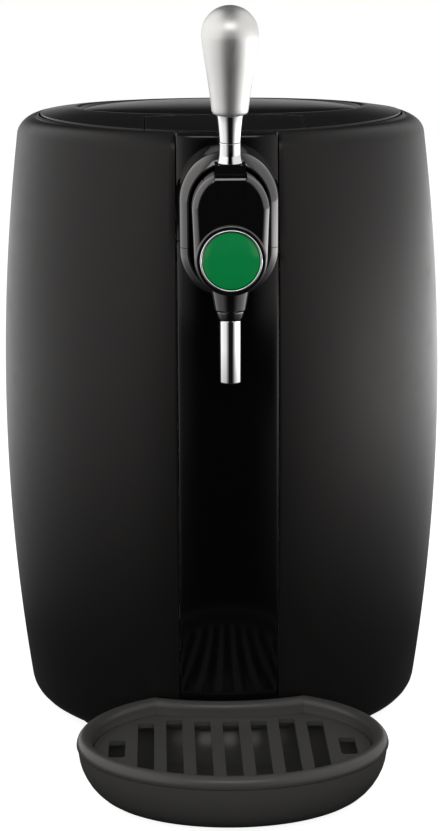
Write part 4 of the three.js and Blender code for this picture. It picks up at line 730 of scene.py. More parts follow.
# Each finish: its kind, its colour or the setting that holds it, its roughness from and to, and
# what differs from the kind's usual values
FINISHES = {
    "moulded_satin": (plastic, "barrel shell_colour", 0.30, 0.35, {
        "grain": 0.06, "dust": 0.004, "specular": 0.3}),
    "lid_satin": (plastic, "barrel shell_colour", 0.19, 0.24, {
        "grain": 0.04, "dust": 0.004, "specular": 0.4}),
    "insert_semi_gloss": (plastic, "barrel shell_colour", 0.14, 0.18, {
        "grain": 0.02, "dust": 0.003, "specular": 0.4}),
    "strip_gloss": (plastic, "barrel strip_colour", 0.09, 0.13, {
        "smears": 0.02, "grain": 0.0, "dust": 0.001}),
    "tap_gloss": (plastic, "barrel strip_colour", 0.09, 0.14, {
        "smears": 0.02, "grain": 0.0, "dust": 0.002, "coat": 1.0, "specular": 1.0, "lighter": 2.0}),
    "tray_satin": (plastic, (0.033, 0.032, 0.031), 0.27, 0.34, {
        "grain": 0.04, "dust": 0.01, "specular": 0.45}),
    "grate_satin": (plastic, (0.034, 0.033, 0.032), 0.3, 0.38, {"dust": 0.01}),
    "inner_matt": (plastic, (0.016, 0.016, 0.017), 0.5, 0.62, {"grain": 0.12, "grain_scale": 1800.0}),
    "foot_rubber": (plastic, (0.012, 0.012, 0.012), 0.75, 0.85, {"grain": 0.2, "grain_scale": 1500.0}),
    "badge_enamel": (plastic, "tap badge_colour", 0.10, 0.14, {
        "smears": 0.01, "grain": 0.0, "dust": 0.0, "coat": 0.8}),
    "circuit_board": (plastic, (0.014, 0.095, 0.032), 0.35, 0.5, {"grain": 0.1, "grain_scale": 900.0}),
    "cream_foam": (plastic, (0.80, 0.77, 0.68), 0.85, 0.95, {"grain": 0.6, "grain_scale": 700.0}),
    "white_ceramic": (plastic, (0.74, 0.73, 0.70), 0.5, 0.6, {"grain": 0.1}),
    "chrome_plate": (metal, (0.92, 0.92, 0.92), 0.03, 0.05, {"strength": 0.0}),
    "grip_satin": (metal, "lever grip_colour", 0.40, 0.45, {
        "strength": 0.02, "stretch": (400, 400, 30)}),
    "drawn_aluminium": (metal, (0.72, 0.73, 0.74), 0.32, 0.45, {"strength": 0.08}),
    "ground_steel": (metal, (0.60, 0.60, 0.61), 0.25, 0.4, {
        "strength": 0.06, "stretch": (2500, 60, 60)}),
}
SLOT_FINISHES = {  # of the carried-over pieces, by their material slot
    "satin_black": "moulded_satin", "gloss_black": "strip_gloss", "inner_black": "inner_matt",
    "aluminium": "drawn_aluminium", "steel": "ground_steel", "foam": "cream_foam",
    "ceramic": "white_ceramic", "circuit_green": "circuit_board", "rubber": "foot_rubber",
    "chrome": "chrome_plate",
}


def finish(name):
    """The finish of that name, made at its first use."""
    material = bpy.data.materials.get(name)
    if not material:
        kind, colour, low, high, others = FINISHES[name]
        if isinstance(colour, str):
            group, setting = colour.split()
            colour = getattr(settings(group), setting)
        material = bpy.data.materials.new(name)
        material.use_nodes = True
        kind(material.node_tree, tuple(colour), low, high, **others)
    return material


# Barrel

def skin_levels(shoulder):
    """The barrel's outer skin from the hem to the lip round the lid opening."""
    top = rim_height()
    low, high = FOOT_HEIGHT + HEM, top - shoulder
    rows = [(FOOT_HEIGHT + HEM * (1 - cos), HEM * (1 - sin)) for sin, cos in quarter(6)]
    rows += [(low + (high - low) * k / BARREL_ROWS, 0.0) for k in range(1, BARREL_ROWS + 1)]
    rows += [(high + shoulder * sin, shoulder * (1 - cos)) for sin, cos in quarter(10, 1)]
    levels = [level(barrel_point, height, inset) for height, inset in rows]
    lip = LID_OPENING + LIP_EDGE
    for share in (0.25, 0.5, 0.75, 1.0):
        levels.append(lambda t, s=share: barrel_point(t, top, shoulder).lerp(
            seam_point(t, lip, lip, top), s))
    for sin, cos in quarter(4, 1):
        reach, height = lip - LIP_EDGE * sin, top - LIP_EDGE * (1 - cos)
        levels.append(level(seam_point, reach, reach, height))
    levels.append(level(oval_point, LID_OPENING, LID_OPENING, top - LIP_DEPTH))
    return levels


def sheet(segments, levels, end):
    """An open sheet through a stack of levels, facing out."""
    bm = bmesh.new()
    tower(bm, segments, levels, start=False, end=end)
    bmesh.ops.recalc_face_normals(bm, faces=bm.faces)
    return bm


def skin_mesh(shoulder=SHOULDER):
    return sheet(BARREL_SEGMENTS, skin_levels(shoulder), False)


def by_the_lid(co):
    """Grows from 0 to 1 towards the lid's opening."""
    return min(1.0, max(0.0, (LID_OPENING + 4 - math.hypot(co.x, co.y)) / 2))


def side_shell(side):
    """One side shell: the skin without the strip, the rear cover and the hinge slot."""
    bm = skin_mesh()
    strip, cover = STRIP_HALF_WIDTH + GAP, COVER_HALF_WIDTH + GAP
    low, high = COVER_BOTTOM - GAP, COVER_TOP + GAP
    edges = (GAP / 2, strip, strip + SHELL_EDGE / 3, strip + SHELL_EDGE, cover, HINGE_SLOT_HALF)
    slice_at(bm, X, *(side * edge for edge in edges))
    slice_at(bm, Z, low, high)
    slice_at(bm, Y, 0, HINGE_SLOT_REAR)

    def wanted(middle):
        x, y, z = side * middle.x, middle.y, middle.z
        if x < GAP / 2 or (y < 0 and x < strip):
            return False
        if y > 0 and x < cover and low < z < high:
            return False
        return not (x < HINGE_SLOT_HALF and 0 < y < HINGE_SLOT_REAR and z > HINGE_SLOT_FLOOR)

    keep_faces(bm, wanted)
    roll_in(bm, lambda co: side * co.x - strip + by_the_lid(co) if co.y < 0 else 1, SHELL_EDGE)
    return thickened(bm, WALL)


def strip_length(bottom, top):
    """A length of the glossy strip, cut from the skin, with rounded long edges."""
    bm = skin_mesh(STRIP_SHOULDER)
    half, radius = STRIP_HALF_WIDTH, STRIP_EDGE
    for share in (0.0, 0.05, 0.2, 0.45, 0.75, 1.0):
        slice_at(bm, X, radius * share - half, half - radius * share)
        slice_at(bm, Z, bottom + SEAM_EDGE * share, top - SEAM_EDGE * share)
    keep_faces(bm, lambda m: m.y < 0 and abs(m.x) < half and bottom < m.z < top)
    roll_in(bm, lambda co: half - abs(co.x) + radius * by_the_lid(co), radius)
    roll_in(bm, lambda co: min(co.z - bottom, top - co.z), SEAM_EDGE)
    return thickened(bm, WALL)


def hood_ridge():
    """The ridge round the tap: a long sloping flank up to a narrow lip, then the inner wall."""
    crest = -size("barrel", "front_depth") - HOOD_REACH
    wall, lip = HOOD_RADII
    brow = math.radians(HOOD_BROW)
    flank = (wall - lip) / (1 - math.sin(brow))
    edge = crest + HOOD_LIP * (1 - math.cos(brow))
    profile = [(wall + swell, crest + depth) for swell, depth in HOOD_ROOT]
    for k in range(15):
        tilt = math.pi / 2 + (brow - math.pi / 2) * k / 14
        profile.append((lip + flank * (math.sin(tilt) - math.sin(brow)),
                        edge + flank * (math.cos(brow) - math.cos(tilt))))
    for k in range(1, 9):
        tilt = brow - (brow + math.pi / 2) * k / 8
        profile.append((lip + HOOD_LIP * (math.sin(tilt) - math.sin(brow)),
                        crest + HOOD_LIP * (1 - math.cos(tilt))))
    profile.append((profile[-1][0], profile[0][1]))

    def place(turn, radius, y):
        raised = HOOD_RISE * max(0.0, (radius - lip) / (wall - lip))
        return stadium_point(turn, (radius, radius), (HOOD_CENTRES[0] + raised, HOOD_CENTRES[1]), y)

    return hoop(144, [level(place, radius, y) for radius, y in profile])


class DISPENSER_OT_shells(bpy.types.Operator):
    """Builds the two side shells with their rounded shoulder and the lip round the lid"""

    bl_idname = "dispenser.shells"
    bl_label = "Side shells"

    def execute(self, context):
        for side, name in ((-1, "left"), (1, "right")):
            settle(side_shell(side), f"shell_{name}", "barrel", f"{name}_shell", "satin_black",
                   "moulded_satin", 0.35)
        return {"FINISHED"}


class DISPENSER_OT_strip(bpy.types.Operator):
    """Builds the glossy strip in two lengths, each with its part of the ridge round the tap"""

    bl_idname = "dispenser.strip"
    bl_label = "Front strip and hood"

    def execute(self, context):
        for part, node, bottom, top in (("lower", "front_panel", 0.0, STRIP_SEAM - GAP),
                                        ("upper", "tap_hood", STRIP_SEAM, rim_height() + OVERRUN)):
            through = lofted(96, [
                level(stadium_point, TAP_RADII, TAP_CENTRES, y, MOVE) for y in (-200, -100)])
            strip = combine(strip_length(bottom, top), [through], "DIFFERENCE")
            settle(strip, f"strip_{part}", "barrel", node, "gloss_black", "strip_gloss")
            hood = combine(hood_ridge(), [wide_block(40, -200, 0, bottom, top)], "INTERSECT")
            settle(hood, f"hood_{part}", "barrel", node, "gloss_black", "tap_gloss")
        return {"FINISHED"}


def rear_cover():
    """The louvred rear cover with a flat pocket for the switch and the power inlet."""
    bm = skin_mesh()
    for half in (COVER_HALF_WIDTH, LOUVRE_HALF_WIDTH, POCKET_HALF_WIDTH):
        slice_at(bm, X, -half, half)
    slice_at(bm, Z, COVER_BOTTOM, COVER_TOP, POCKET_BOTTOM, POCKET_TOP)
    for height in LOUVRES:
        slice_at(bm, Z, height - LOUVRE_HALF_HEIGHT, height + LOUVRE_HALF_HEIGHT)

    def wanted(middle):
        x, y, z = abs(middle.x), middle.y, middle.z
        if y < 0 or x > COVER_HALF_WIDTH or not COVER_BOTTOM < z < COVER_TOP:
            return False
        if x < POCKET_HALF_WIDTH and POCKET_BOTTOM < z < POCKET_TOP:
            return False
        return x > LOUVRE_HALF_WIDTH or all(abs(z - h) > LOUVRE_HALF_HEIGHT for h in LOUVRES)

    keep_faces(bm, wanted)
    tub = wide_block(POCKET_HALF_WIDTH + WALL, POCKET_FLOOR - WALL, POCKET_REAR,
                     POCKET_BOTTOM - WALL, POCKET_TOP + WALL)
    shell = lofted(BARREL_SEGMENTS, [
        level(barrel_point, height, COVER_INSET) for height in (30, 45, 60, 75, 90)])
    holes = [wide_block(POCKET_HALF_WIDTH, POCKET_FLOOR, HOLE_REAR, POCKET_BOTTOM, POCKET_TOP)]
    for (x0, z0), (x1, z1) in PANEL_HOLES:
        holes.append(block((x0, HOLE_FRONT, z0), (x1, HOLE_REAR, z1)))
    tub = combine(combine(tub, [shell], "INTERSECT"), holes, "DIFFERENCE")
    return combine(thickened(bm, WALL), [tub], "UNION")


class DISPENSER_OT_rear_cover(bpy.types.Operator):
    """Builds the louvred rear cover with its pocket for the switch and the inlet"""

    bl_idname = "dispenser.rear_cover"
    bl_label = "Rear cover"

    def execute(self, context):
        settle(rear_cover(), "cover_rear", "barrel", "rear_cover", "satin_black", "moulded_satin", 0.3)
        return {"FINISHED"}


# Lid

def lid_levels():
    """The lid's upper face: its rounded edge at the seam, its crown and the roll into the recess."""
    top = rim_height()
    crown, edge_top = top + LID_CROWN, top + LID_STEP + EDGE
    recess = (DOME_HALF_WIDTH + GROOVE, DOME_HALF_DEPTH + GROOVE)
    ring = tuple(reach + roll for reach, roll in zip(recess, ROLLS))
    levels = [level(seam_point, LID_RADIUS, LID_RADIUS, top - 1)]
    for sin, cos in quarter(3):
        reach = LID_RADIUS - EDGE * (1 - cos)
        levels.append(level(seam_point, reach, reach, top + LID_STEP + EDGE * sin))
    outer = LID_RADIUS - EDGE
    for k in range(1, LID_STEPS + 1):
        share = k / LID_STEPS
        wide, deep = (outer + (reach - outer) * share for reach in ring)
        height = edge_top + (crown - edge_top) * (0.85 * share + 0.15 * math.sin(share * math.pi / 2))
        levels.append(level(seam_point, wide, deep, height, 1 - share))
    for sin, cos in quarter(7, 1):
        wide, deep = (reach - roll * sin for reach, roll in zip(ring, ROLLS))
        levels.append(level(oval_point, wide, deep, crown - RECESS_DEPTH * (1 - cos)))
    levels.append(level(oval_point, *(reach - RECESS_FLOOR for reach in recess), crown - RECESS_DEPTH))
    return levels


def lid_sheet(flap):
    """The lid's upper face, either the press flap alone or all but it."""
    bm = sheet(LID_SEGMENTS, lid_levels(), True)
    margin, way = (0, -1) if flap else (MOVE, 1)
    half, rear = LATCH_HALF_WIDTH + margin, LATCH_REAR + margin
    for share in (0.0, 0.1, 0.4, 1.0):
        step = way * share * FLAP_EDGE
        slice_at(bm, X, -half - step, half + step)
        slice_at(bm, Y, rear + step)

    def depth_in_flap(co):
        return min(half - abs(co.x), rear - co.y)

    keep_faces(bm, lambda middle: (depth_in_flap(middle) > 0) == flap)
    roll_in(bm, lambda co: abs(depth_in_flap(co)), FLAP_EDGE)
    return thickened(bm, LID_SHEET)


def latch_axis():
    return LATCH_REAR - LATCH_PIN_FORWARD, rim_height() - LATCH_PIN_DROP


def lid_ribs():
    """Under the lid's face: the skirt, the bosses for the flap's pin and the hinge arms."""
    under = rim_height() - LID_SHEET
    low, high = under - SKIRT_DROP, under + RIB_BITE
    inner = SKIRT_RADIUS - WALL
    skirt = turned([(inner, low), (SKIRT_RADIUS, low), (SKIRT_RADIUS, high), (inner, high)],
                   steps=LID_SEGMENTS)
    room = LATCH_HALF_WIDTH + MOVE
    skirt = combine(skirt, [wide_block(room, AHEAD, LATCH_REAR + MOVE, 370, ABOVE)], "DIFFERENCE")
    pin_y, pin_z = latch_axis()
    hinge_y, hinge_z = HINGE_AXIS
    pieces = []
    for side in (-1, 1):
        left, right = sorted((side * room, side * (room + LATCH_BOSS_WIDTH)))
        pieces += [rod("x", LATCH_BOSS, left, right, (pin_y, pin_z)),
                   block((left, pin_y - LATCH_BOSS, pin_z), (right, pin_y + LATCH_BOSS, under + BOSS_BITE))]
        left, right = sorted(side * end for end in HINGE_ARM)
        pieces += [rod("x", HINGE_KNUCKLE, left, right, HINGE_AXIS),
                   block((left, HINGE_ARM_FRONT, hinge_z - 2.5), (right, hinge_y, hinge_z + 2.5)),
                   block((left, HINGE_ARM_FRONT, 381.2), (right, 116.4, 388.2))]
    bores = [rod("x", LATCH_BORE, -60, 60, (pin_y, pin_z)), rod("x", HINGE_BORE, -30, 30, HINGE_AXIS)]
    return combine(combine(skirt, pieces, "UNION"), bores, "DIFFERENCE")


def flap_ribs():
    """Under the press flap: the barrel for its pin and the tongue that catches the funnel."""
    under = rim_height() - LID_SHEET
    top, front = under + RIB_BITE, -SKIRT_RADIUS
    pin_y, pin_z = latch_axis()
    half = LATCH_HALF_WIDTH - 0.4
    pieces = [wide_block(half, pin_y - 3.1, pin_y + 3.1, pin_z, under + BOSS_BITE),
              wide_block(TONGUE_HALF_WIDTH, front, front + 2, under - 6, top),
              wide_block(TONGUE_HALF_WIDTH, front, pin_y, under, top)]
    ribs = combine(rod("x", LATCH_BOSS, -half, half, (pin_y, pin_z)), pieces, "UNION")
    return combine(ribs, [rod("x", LATCH_BORE, -half - 2, half + 2, (pin_y, pin_z))], "DIFFERENCE")


def lid_insert():
    """The pillow-shaped oval insert, half an ellipse in every section."""
    base = rim_height() + LID_CROWN - RECESS_DEPTH + GAP
    rise = size("lid", "dome_rise")
    levels = [level(oval_point, DOME_HALF_WIDTH * cos, DOME_HALF_DEPTH * cos, base + rise * sin)
              for sin, cos in quarter(DOME_STEPS)[:-1]]
    bm = bmesh.new()
    rings = tower(bm, LID_SEGMENTS, levels, start=True, end=False)
    bmesh.ops.pointmerge(bm, verts=next_ring(bm, rings[-1]), merge_co=(0, 0, base + rise))
    return raw(bm)


def lid_plug():
    """The insulated plug under the lid."""
    corner, lip = PLUG_RADIUS - 1, PLUG_FOOT + 3.7
    plug = turned([(0, PLUG_FOOT), (corner, PLUG_FOOT), *rounded((corner, PLUG_FOOT + 1), 1, -90, 0),
                   (PLUG_RADIUS, lip), (PLUG_RADIUS - 4, lip), (PLUG_RADIUS - 4, PLUG_TOP),
                   (0, PLUG_TOP)], (0, PLUG_Y), 128)
    cutters = [wide_block(54.5, AHEAD, LATCH_REAR + 1.5, 375.7, ABOVE),
               wide_block(TONGUE_HALF_WIDTH + 1, AHEAD, -108.6, 300, ABOVE)]
    return combine(plug, cutters, "DIFFERENCE")


def lid_gasket():
    """The round seal under the plug."""
    (inner, outer), (low, high), lip = SEAL_RADII, SEAL_LEVELS, SEAL_LIP
    shoulder = high - 1.4
    return turned([(inner, low), (outer, low), (outer, shoulder),
                   *rounded((outer - lip, high - lip), lip, 0, 90),
                   *rounded((inner + lip, high - lip), lip, 90, 180), (inner, shoulder)],
                  (0, PLUG_Y), 128)


class DISPENSER_OT_lid(bpy.types.Operator):
    """Builds the lid's frame, its oval insert and the press flap in its front edge"""

    bl_idname = "dispenser.lid"
    bl_label = "Lid"

    def execute(self, context):
        settle(lid_sheet(False), "lid_plate", "lid", "lid_frame", "satin_black", "lid_satin", 0.45)
        settle(lid_ribs(), "lid_ribs", "lid", "lid_frame", "satin_black", "inner_matt", 0.3)
        settle(lid_insert(), "lid_insert", "lid", "lid_dome", "gloss_black", "insert_semi_gloss")
        settle(lid_sheet(True), "lid_flap", "latch", "latch_flap", "satin_black", "lid_satin", 0.45)
        settle(flap_ribs(), "flap_ribs", "latch", "latch_flap", "satin_black", "inner_matt", 0.3)
        return {"FINISHED"}


class DISPENSER_OT_lid_underside(bpy.types.Operator):
    """Builds the insulated plug and the round seal under the lid"""

    bl_idname = "dispenser.lid_underside"
    bl_label = "Lid underside"

    def execute(self, context):
        settle(lid_plug(), "lid_plug", "lid", "lid_pan", "inner_black", "inner_matt", 0.5)
        settle(lid_gasket(), "lid_gasket", "lid", "lid_seal", "rubber", "foot_rubber")
        return {"FINISHED"}


# Keg well

def well_liner():
    """The aluminium cup, a thin sheet with a rolled foot and a flat rim."""
    low, top, inner, turn = WELL_FOOT, WELL_TOP, WELL_RADIUS, WELL_CORNER
    outer, floor = inner + WELL_SHEET, low + WELL_SHEET
    return turned([(0, low), (inner - 2, low), *rounded((inner - 2, low + turn), turn, -90, 0),
                   (outer, top), (WELL_RIM, top), (WELL_RIM, top + WELL_SHEET),
                   (inner + 0.6, top + WELL_SHEET), (inner, top + 0.4), (inner, floor + turn),
                   *rounded((inner - turn, floor + turn), turn, 0, -90), (0, floor)],
                  (0, WELL_Y), 128)


def well_funnel():
    """The funnel between the lid opening and the well, with the step for the seal."""
    funnel = hoop(128, [level(oval_point, r, r, height, y) for r, height, y in FUNNEL])
    return combine(funnel, [block(low, high) for low, high in FUNNEL_WINDOWS], "DIFFERENCE")


class DISPENSER_OT_well(bpy.types.Operator):
    """Builds the aluminium keg well and the funnel above it"""

    bl_idname = "dispenser.well"
    bl_label = "Keg well"

    def execute(self, context):
        settle(well_liner(), "well_liner", "barrel", "keg_liner", "aluminium", "drawn_aluminium")
        settle(well_funnel(), "well_funnel", "barrel", "well_collar", "inner_black", "inner_matt", 0.4)
        return {"FINISHED"}


# Tap

def facing_front(shape, y):
    """Turns a shape spun round the upright axis to face the front at the badge's place."""
    place = Matrix.Translation((0, y, TAP_CENTRES[1]))
    shape.data.transform(place @ Matrix.Rotation(math.pi / 2, 4, "X"))
    return shape


def tongue_outline():
    """A shallow groove on the tap's face: the outline of the tongue below the lever."""
    (wide, narrow), above, floor = TONGUE_RADII, TAP_FRONT - 1, TAP_FRONT + TONGUE_GROOVE
    return hoop(64, [
        level(stadium_point, (r, r), TONGUE_CENTRES, y)
        for r, y in ((wide, above), (wide, floor), (narrow, floor), (narrow, above))])


def tap_body():
    """The tap's housing with its rounded face and the slots that the lever and the hose need."""
    edge = size("tap", "edge_radius")
    levels = [(TAP_FLANGE, TAP_FLANGE_REAR), (TAP_FLANGE, TAP_FLANGE_FRONT), (0, TAP_FLANGE_FRONT)]
    levels += [(-edge * (1 - cos), TAP_FRONT + edge * (1 - sin)) for sin, cos in quarter(8)]
    body = lofted(128, [
        level(stadium_point, TAP_RADII, TAP_CENTRES, y, grown) for grown, y in levels])
    corner = (BOSS_RADIUS - BOSS_EDGE, BOSS_RISE - BOSS_EDGE)
    boss = turned([(0, -BOSS_DEPTH), (BOSS_RADIUS, -BOSS_DEPTH), *rounded(corner, BOSS_EDGE, 0, 90),
                   (0, BOSS_RISE)], steps=128)
    jaw, floor, top = PIVOT_Y + JAW_SET_BACK, CHANNEL_FLOOR, 390
    cutters = [
        wide_block(6, SPOUT_Y - HOSE_BORE, -120, floor, 359),
        rod("z", HOSE_BORE, 280, 359, (0, SPOUT_Y)),
        wide_block(JAW_HALF_ROOM, jaw - GAP, jaw + 10.3, floor, top),
        wide_block(HUB_HALF_ROOM, TAP_FRONT + WALL, jaw, PIVOT_Z - HUB_RADIUS - MOVE, top),
        wide_block(JAW_HALF_ROOM, jaw - 4.7, jaw, floor + MOVE, top),
        wide_block(HUB_HALF_ROOM, TAP_FRONT - 2, jaw, PIVOT_Z + 3.3, top),
        rod("x", LEVER_BORE, -15.2, 15.2, (PIVOT_Y, PIVOT_Z)),
        rod("z", COLLAR_BORE, 280, COLLAR_TOP, (0, SPOUT_Y), 96),
        rod("y", BADGE_SEAT, TAP_FRONT - 4, TAP_FRONT + 0.1, (0, TAP_CENTRES[1]), 128),
        tongue_outline(),
    ]
    body = combine(body, [facing_front(boss, TAP_FRONT)], "UNION")
    return combine(body, cutters, "DIFFERENCE")


def spout_parts():
    """The collar, the nut and the spout: piece, profile from the outside in, node, slot, finish."""
    collar = [(5.5, 292.7), (8.6, 292.7), (9.0, 293.1), (11.8, 308.6), (11.4, 309),
              (HOSE_BORE, 309), (HOSE_BORE, 299), (5.5, 299)]
    nut = [(5.5, 286.7), (6.0, 286.7), *eased([(6.4, 287.0), (7.2, 288.6), (8.0, 291.2)], 4),
           (8.0, 292.0), (7.6, 292.4), (5.5, 292.4)]
    top, root = SPOUT_TOP, SPOUT_ROOT
    low = top - size("tap", "spout_length")
    spout = [*rounded((5.35, low + 0.8), 0.8, -90, 0), (6.15, top), (5.2, top), (5.2, root),
             (4, root), (4, low + 0.7), *rounded((4.7, low + 0.7), 0.7, -180, -90)]
    return (("spout_cone", collar, "spout_collar", "gloss_black", "tap_gloss"),
            ("spout_cap", nut, "spout_nut", "gloss_black", "tap_gloss"),
            ("spout_pipe", spout, "spout_tube", "chrome", "chrome_plate"))


class DISPENSER_OT_tap(bpy.types.Operator):
    """Builds the tap's housing and the spout with its collar and nut"""

    bl_idname = "dispenser.tap"
    bl_label = "Tap and spout"

    def execute(self, context):
        settle(tap_body(), "tap_housing", "barrel", "tap_body", "gloss_black", "tap_gloss", 0.35)
        for name, profile, node, slot, finish_name in spout_parts():
            settle(turned(profile, (0, SPOUT_Y)), name, "barrel", node, slot, finish_name)
        return {"FINISHED"}


class DISPENSER_OT_badge(bpy.types.Operator):
    """Builds the plain green disc and its silver rim"""

    bl_idname = "dispenser.badge"
    bl_label = "Badge"

    def execute(self, context):
        disc = [(0, 0), (16.3, 0), (16.3, 0.9), *eased([(15.9, 1.3), (12, 2.0), (6, 2.5), (0, 2.65)], 6)]
        rim = [(16.6, 0), (17.8, 0), (17.8, 1.8), *rounded((17.2, 1.8), 0.6, 0, 180, 8), (16.6, 1.8)]
        for name, profile, node, slot, finish_name in (
                ("badge_plain_disc", disc, "badge_disc", "badge_green", "badge_enamel"),
                ("badge_rim", rim, "badge_bezel", "chrome", "chrome_plate")):
            shape = facing_front(turned(profile), TAP_FRONT - BADGE_SINK)
            settle(shape, name, "barrel", node, slot, finish_name)
        return {"FINISHED"}


# Lever

def about_pivot(shape, lean=LEVER_LEAN):
    """Leans a shape modelled over the lever's axis and puts it there."""
    shape.data.transform(Matrix.Translation((0, PIVOT_Y, PIVOT_Z)) @ Matrix.Rotation(lean, 4, "X"))
    return shape


def lever_parts():
    """The stem, the ferrule and the grip: piece, profile above the axis, node, slot, finish."""
    stem = [(0, 12.1), (6.9, 12.1), *eased(STEM, 5), (5.8, 23.8), (0, 23.8)]
    ferrule = [(0, 24.1), (5.8, 24.1), *eased(FERRULE, 4), (7.3, 39.6), (0, 39.6)]
    tall = size("lever", "grip_height")
    grip = [(0, GRIP_FOOT), *((max(0.0, r), GRIP_FOOT + tall * s) for r, s in eased(GRIP, 5))]
    return (("lever_rod", stem, "lever_stem", "chrome", "chrome_plate"),
            ("lever_cuff", ferrule, "stem_ferrule", "chrome", "chrome_plate"),
            ("lever_pear", grip, "lever_grip", "satin_metal", "grip_satin"))


def lever_hub():
    """The hub: a barrel round the pin, a lug that lifts the jaw and a neck that carries the stem."""
    angle = math.radians(-LUG_DROP)
    half, lug_half = HUB_HALF_WIDTH, 2 * LUG_RADIUS
    lug_place = (LUG_REACH * math.cos(angle), LUG_REACH * math.sin(angle))
    barrel = rod("x", HUB_RADIUS, -half, half, (0, 0), 96)
    lug = rod("x", LUG_RADIUS, -lug_half, lug_half, lug_place, 32)
    arm = wide_block(lug_half, 0, LUG_REACH, -1, 1)
    arm.data.transform(Matrix.Rotation(angle, 4, "X"))
    neck = wide_block(half, -6, 6, 0, 11.7)
    neck.data.transform(Matrix.Rotation(LEVER_LEAN, 4, "X"))
    hub = combine(barrel, [lug, arm, neck], "UNION")
    return combine(hub, [rod("x", LEVER_BORE, -12, 12, (0, 0))], "DIFFERENCE")


class DISPENSER_OT_lever(bpy.types.Operator):
    """Builds the lever: its hub, the chrome stem and ferrule, and the pear-shaped grip"""

    bl_idname = "dispenser.lever"
    bl_label = "Lever"

    def execute(self, context):
        for name, profile, node, slot, finish_name in lever_parts():
            settle(about_pivot(turned(profile)), name, "lever", node, slot, finish_name)
        settle(about_pivot(lever_hub(), 0), "lever_block", "lever", "lever_hub", "gloss_black",
               "tap_gloss", 0.6)
        return {"FINISHED"}


# Drip tray

def tray_bowl():
    """The bowl, and the tongue that holds it under the barrel."""
    seat, under = TRAY_SEAM - GAP, BOWL_FLOOR
    floor = under + BOWL_THICKNESS
    levels = [tray_level(1 + BOWL_TAPER * inward, under + (seat - under) * up)
              for inward, up in BOWL_SIDE]
    levels += [tray_level(1 + BOWL_TAPER * inward + WALL, floor + (seat - floor) * up)
               for inward, up in reversed(BOWL_SIDE)]
    half, reach, low, high = TRAY_TONGUE
    rear = AHEAD + bulge(FOOT_HEIGHT) + HEM + TRAY_TONGUE_REACH
    return combine(lofted(TRAY_STEPS, levels), [wide_block(half, rear - reach, rear, low, high)], "UNION")


def tray_rim():
    """The rim: a rounded crest, and inside it the shelf that the grate lies on."""
    width = size("tray", "rim_width")
    deep = TRAY_CREST - TRAY_SEAM
    shelf = GRATE_TOP - GRATE_THICKNESS - GAP
    under = shelf - 2.5
    crest = eased([*RIM_CREST, (width, RIM_END)], 3)
    section = [(1.0, TRAY_SEAM), *((max(0.0, inset), TRAY_SEAM + deep * up) for inset, up in crest),
               (width + 0.4, shelf + 0.5), (width + 0.6, shelf), (width + 4, shelf),
               (width + 4, under), (5.05, under), (3.8, TRAY_SEAM)]
    return hoop(TRAY_STEPS, [tray_level(inset, height) for inset, height in section])


def drip_grate():
    """The grate with its rounded slots, the outer ones shorter."""
    half_slot = size("tray", "slot_width") / 2
    edge = size("tray", "rim_width") + 0.6 + MOVE
    grate = lofted(TRAY_STEPS, [
        tray_level(edge, GRATE_TOP - GRATE_THICKNESS), tray_level(edge, GRATE_TOP)])
    margin = edge + SLOT_MARGIN
    cutters = []
    for index in range(-4, 5):
        x = index * SLOT_PITCH
        if abs(index) == 4:
            front, back = TRAY_CENTRE_Y - END_SLOT_HALF, TRAY_CENTRE_Y + END_SLOT_HALF
        else:
            far = abs(x) + half_slot
            front = tray_oval_y(far, margin, False)
            back = min(tray_back_y(abs(x), margin), tray_oval_y(far, margin, True))
        cutters.append(block((x - half_slot, front, 20), (x + half_slot, back, 40), SLOT_CORNER))
    return combine(grate, cutters, "DIFFERENCE")


class DISPENSER_OT_tray(bpy.types.Operator):
    """Builds the drip tray: its bowl, the satin rim and the slotted grate"""

    bl_idname = "dispenser.tray"
    bl_label = "Drip tray"

    def execute(self, context):
        settle(tray_bowl(), "tray_shell", "tray", "tray_bowl", "satin_black", "tray_satin")
        settle(tray_rim(), "tray_band", "tray", "tray_rim", "gloss_black", "tray_satin")
        settle(drip_grate(), "tray_grate", "grate", "drip_grate", "satin_black", "grate_satin", 0.5)
        return {"FINISHED"}


# Feet and what is inside

class DISPENSER_OT_feet(bpy.types.Operator):
    """Builds the four rubber feet"""

    bl_idname = "dispenser.feet"
    bl_label = "Feet"

    def execute(self, context):
        profile = [(0, 0), (8.6, 0), *rounded((8.6, 0.8), 0.8, -90, -20), (10, 2.2), (10, 3.4),
                   (9.7, 3.7), (0, 3.7)]
        for place in ("front_left", "front_right", "rear_left", "rear_right"):
            low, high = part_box(f"foot_{place}")
            middle = (low + high) / 2
            foot = turned(profile, (middle.x / MM, (middle.y - AXIS_Y) / MM), 64)
            settle(foot, f"pad_{place}", "barrel", f"foot_{place}", "rubber", "foot_rubber")
        return {"FINISHED"}


class DISPENSER_OT_works(bpy.types.Operator):
    """Gives the carried-over CAD pieces of the cooling unit and the hinge their finishes"""

    bl_idname = "dispenser.works"
    bl_label = "Works and fittings"

    def execute(self, context):
        slots = {part["node"]: part["material_slot"] for part in frame["record"]["subparts"]}
        for name, node in frame["nodes"].items():
            if not node.hide_render:
                node.data.materials.clear()
                node.data.materials.append(finish(SLOT_FINISHES[slots[name]]))
        return {"FINISHED"}


# Studio

CAMERA_PLACE = Vector((-0.041, -1.358, 0.508))
CAMERA_YAW, CAMERA_PITCH, CAMERA_ROLL = 0.02824, 0.222, -0.0046
CAMERA_LENS = 93.53
STUDIO_MIDDLE = (0, 0.05, 0.25)


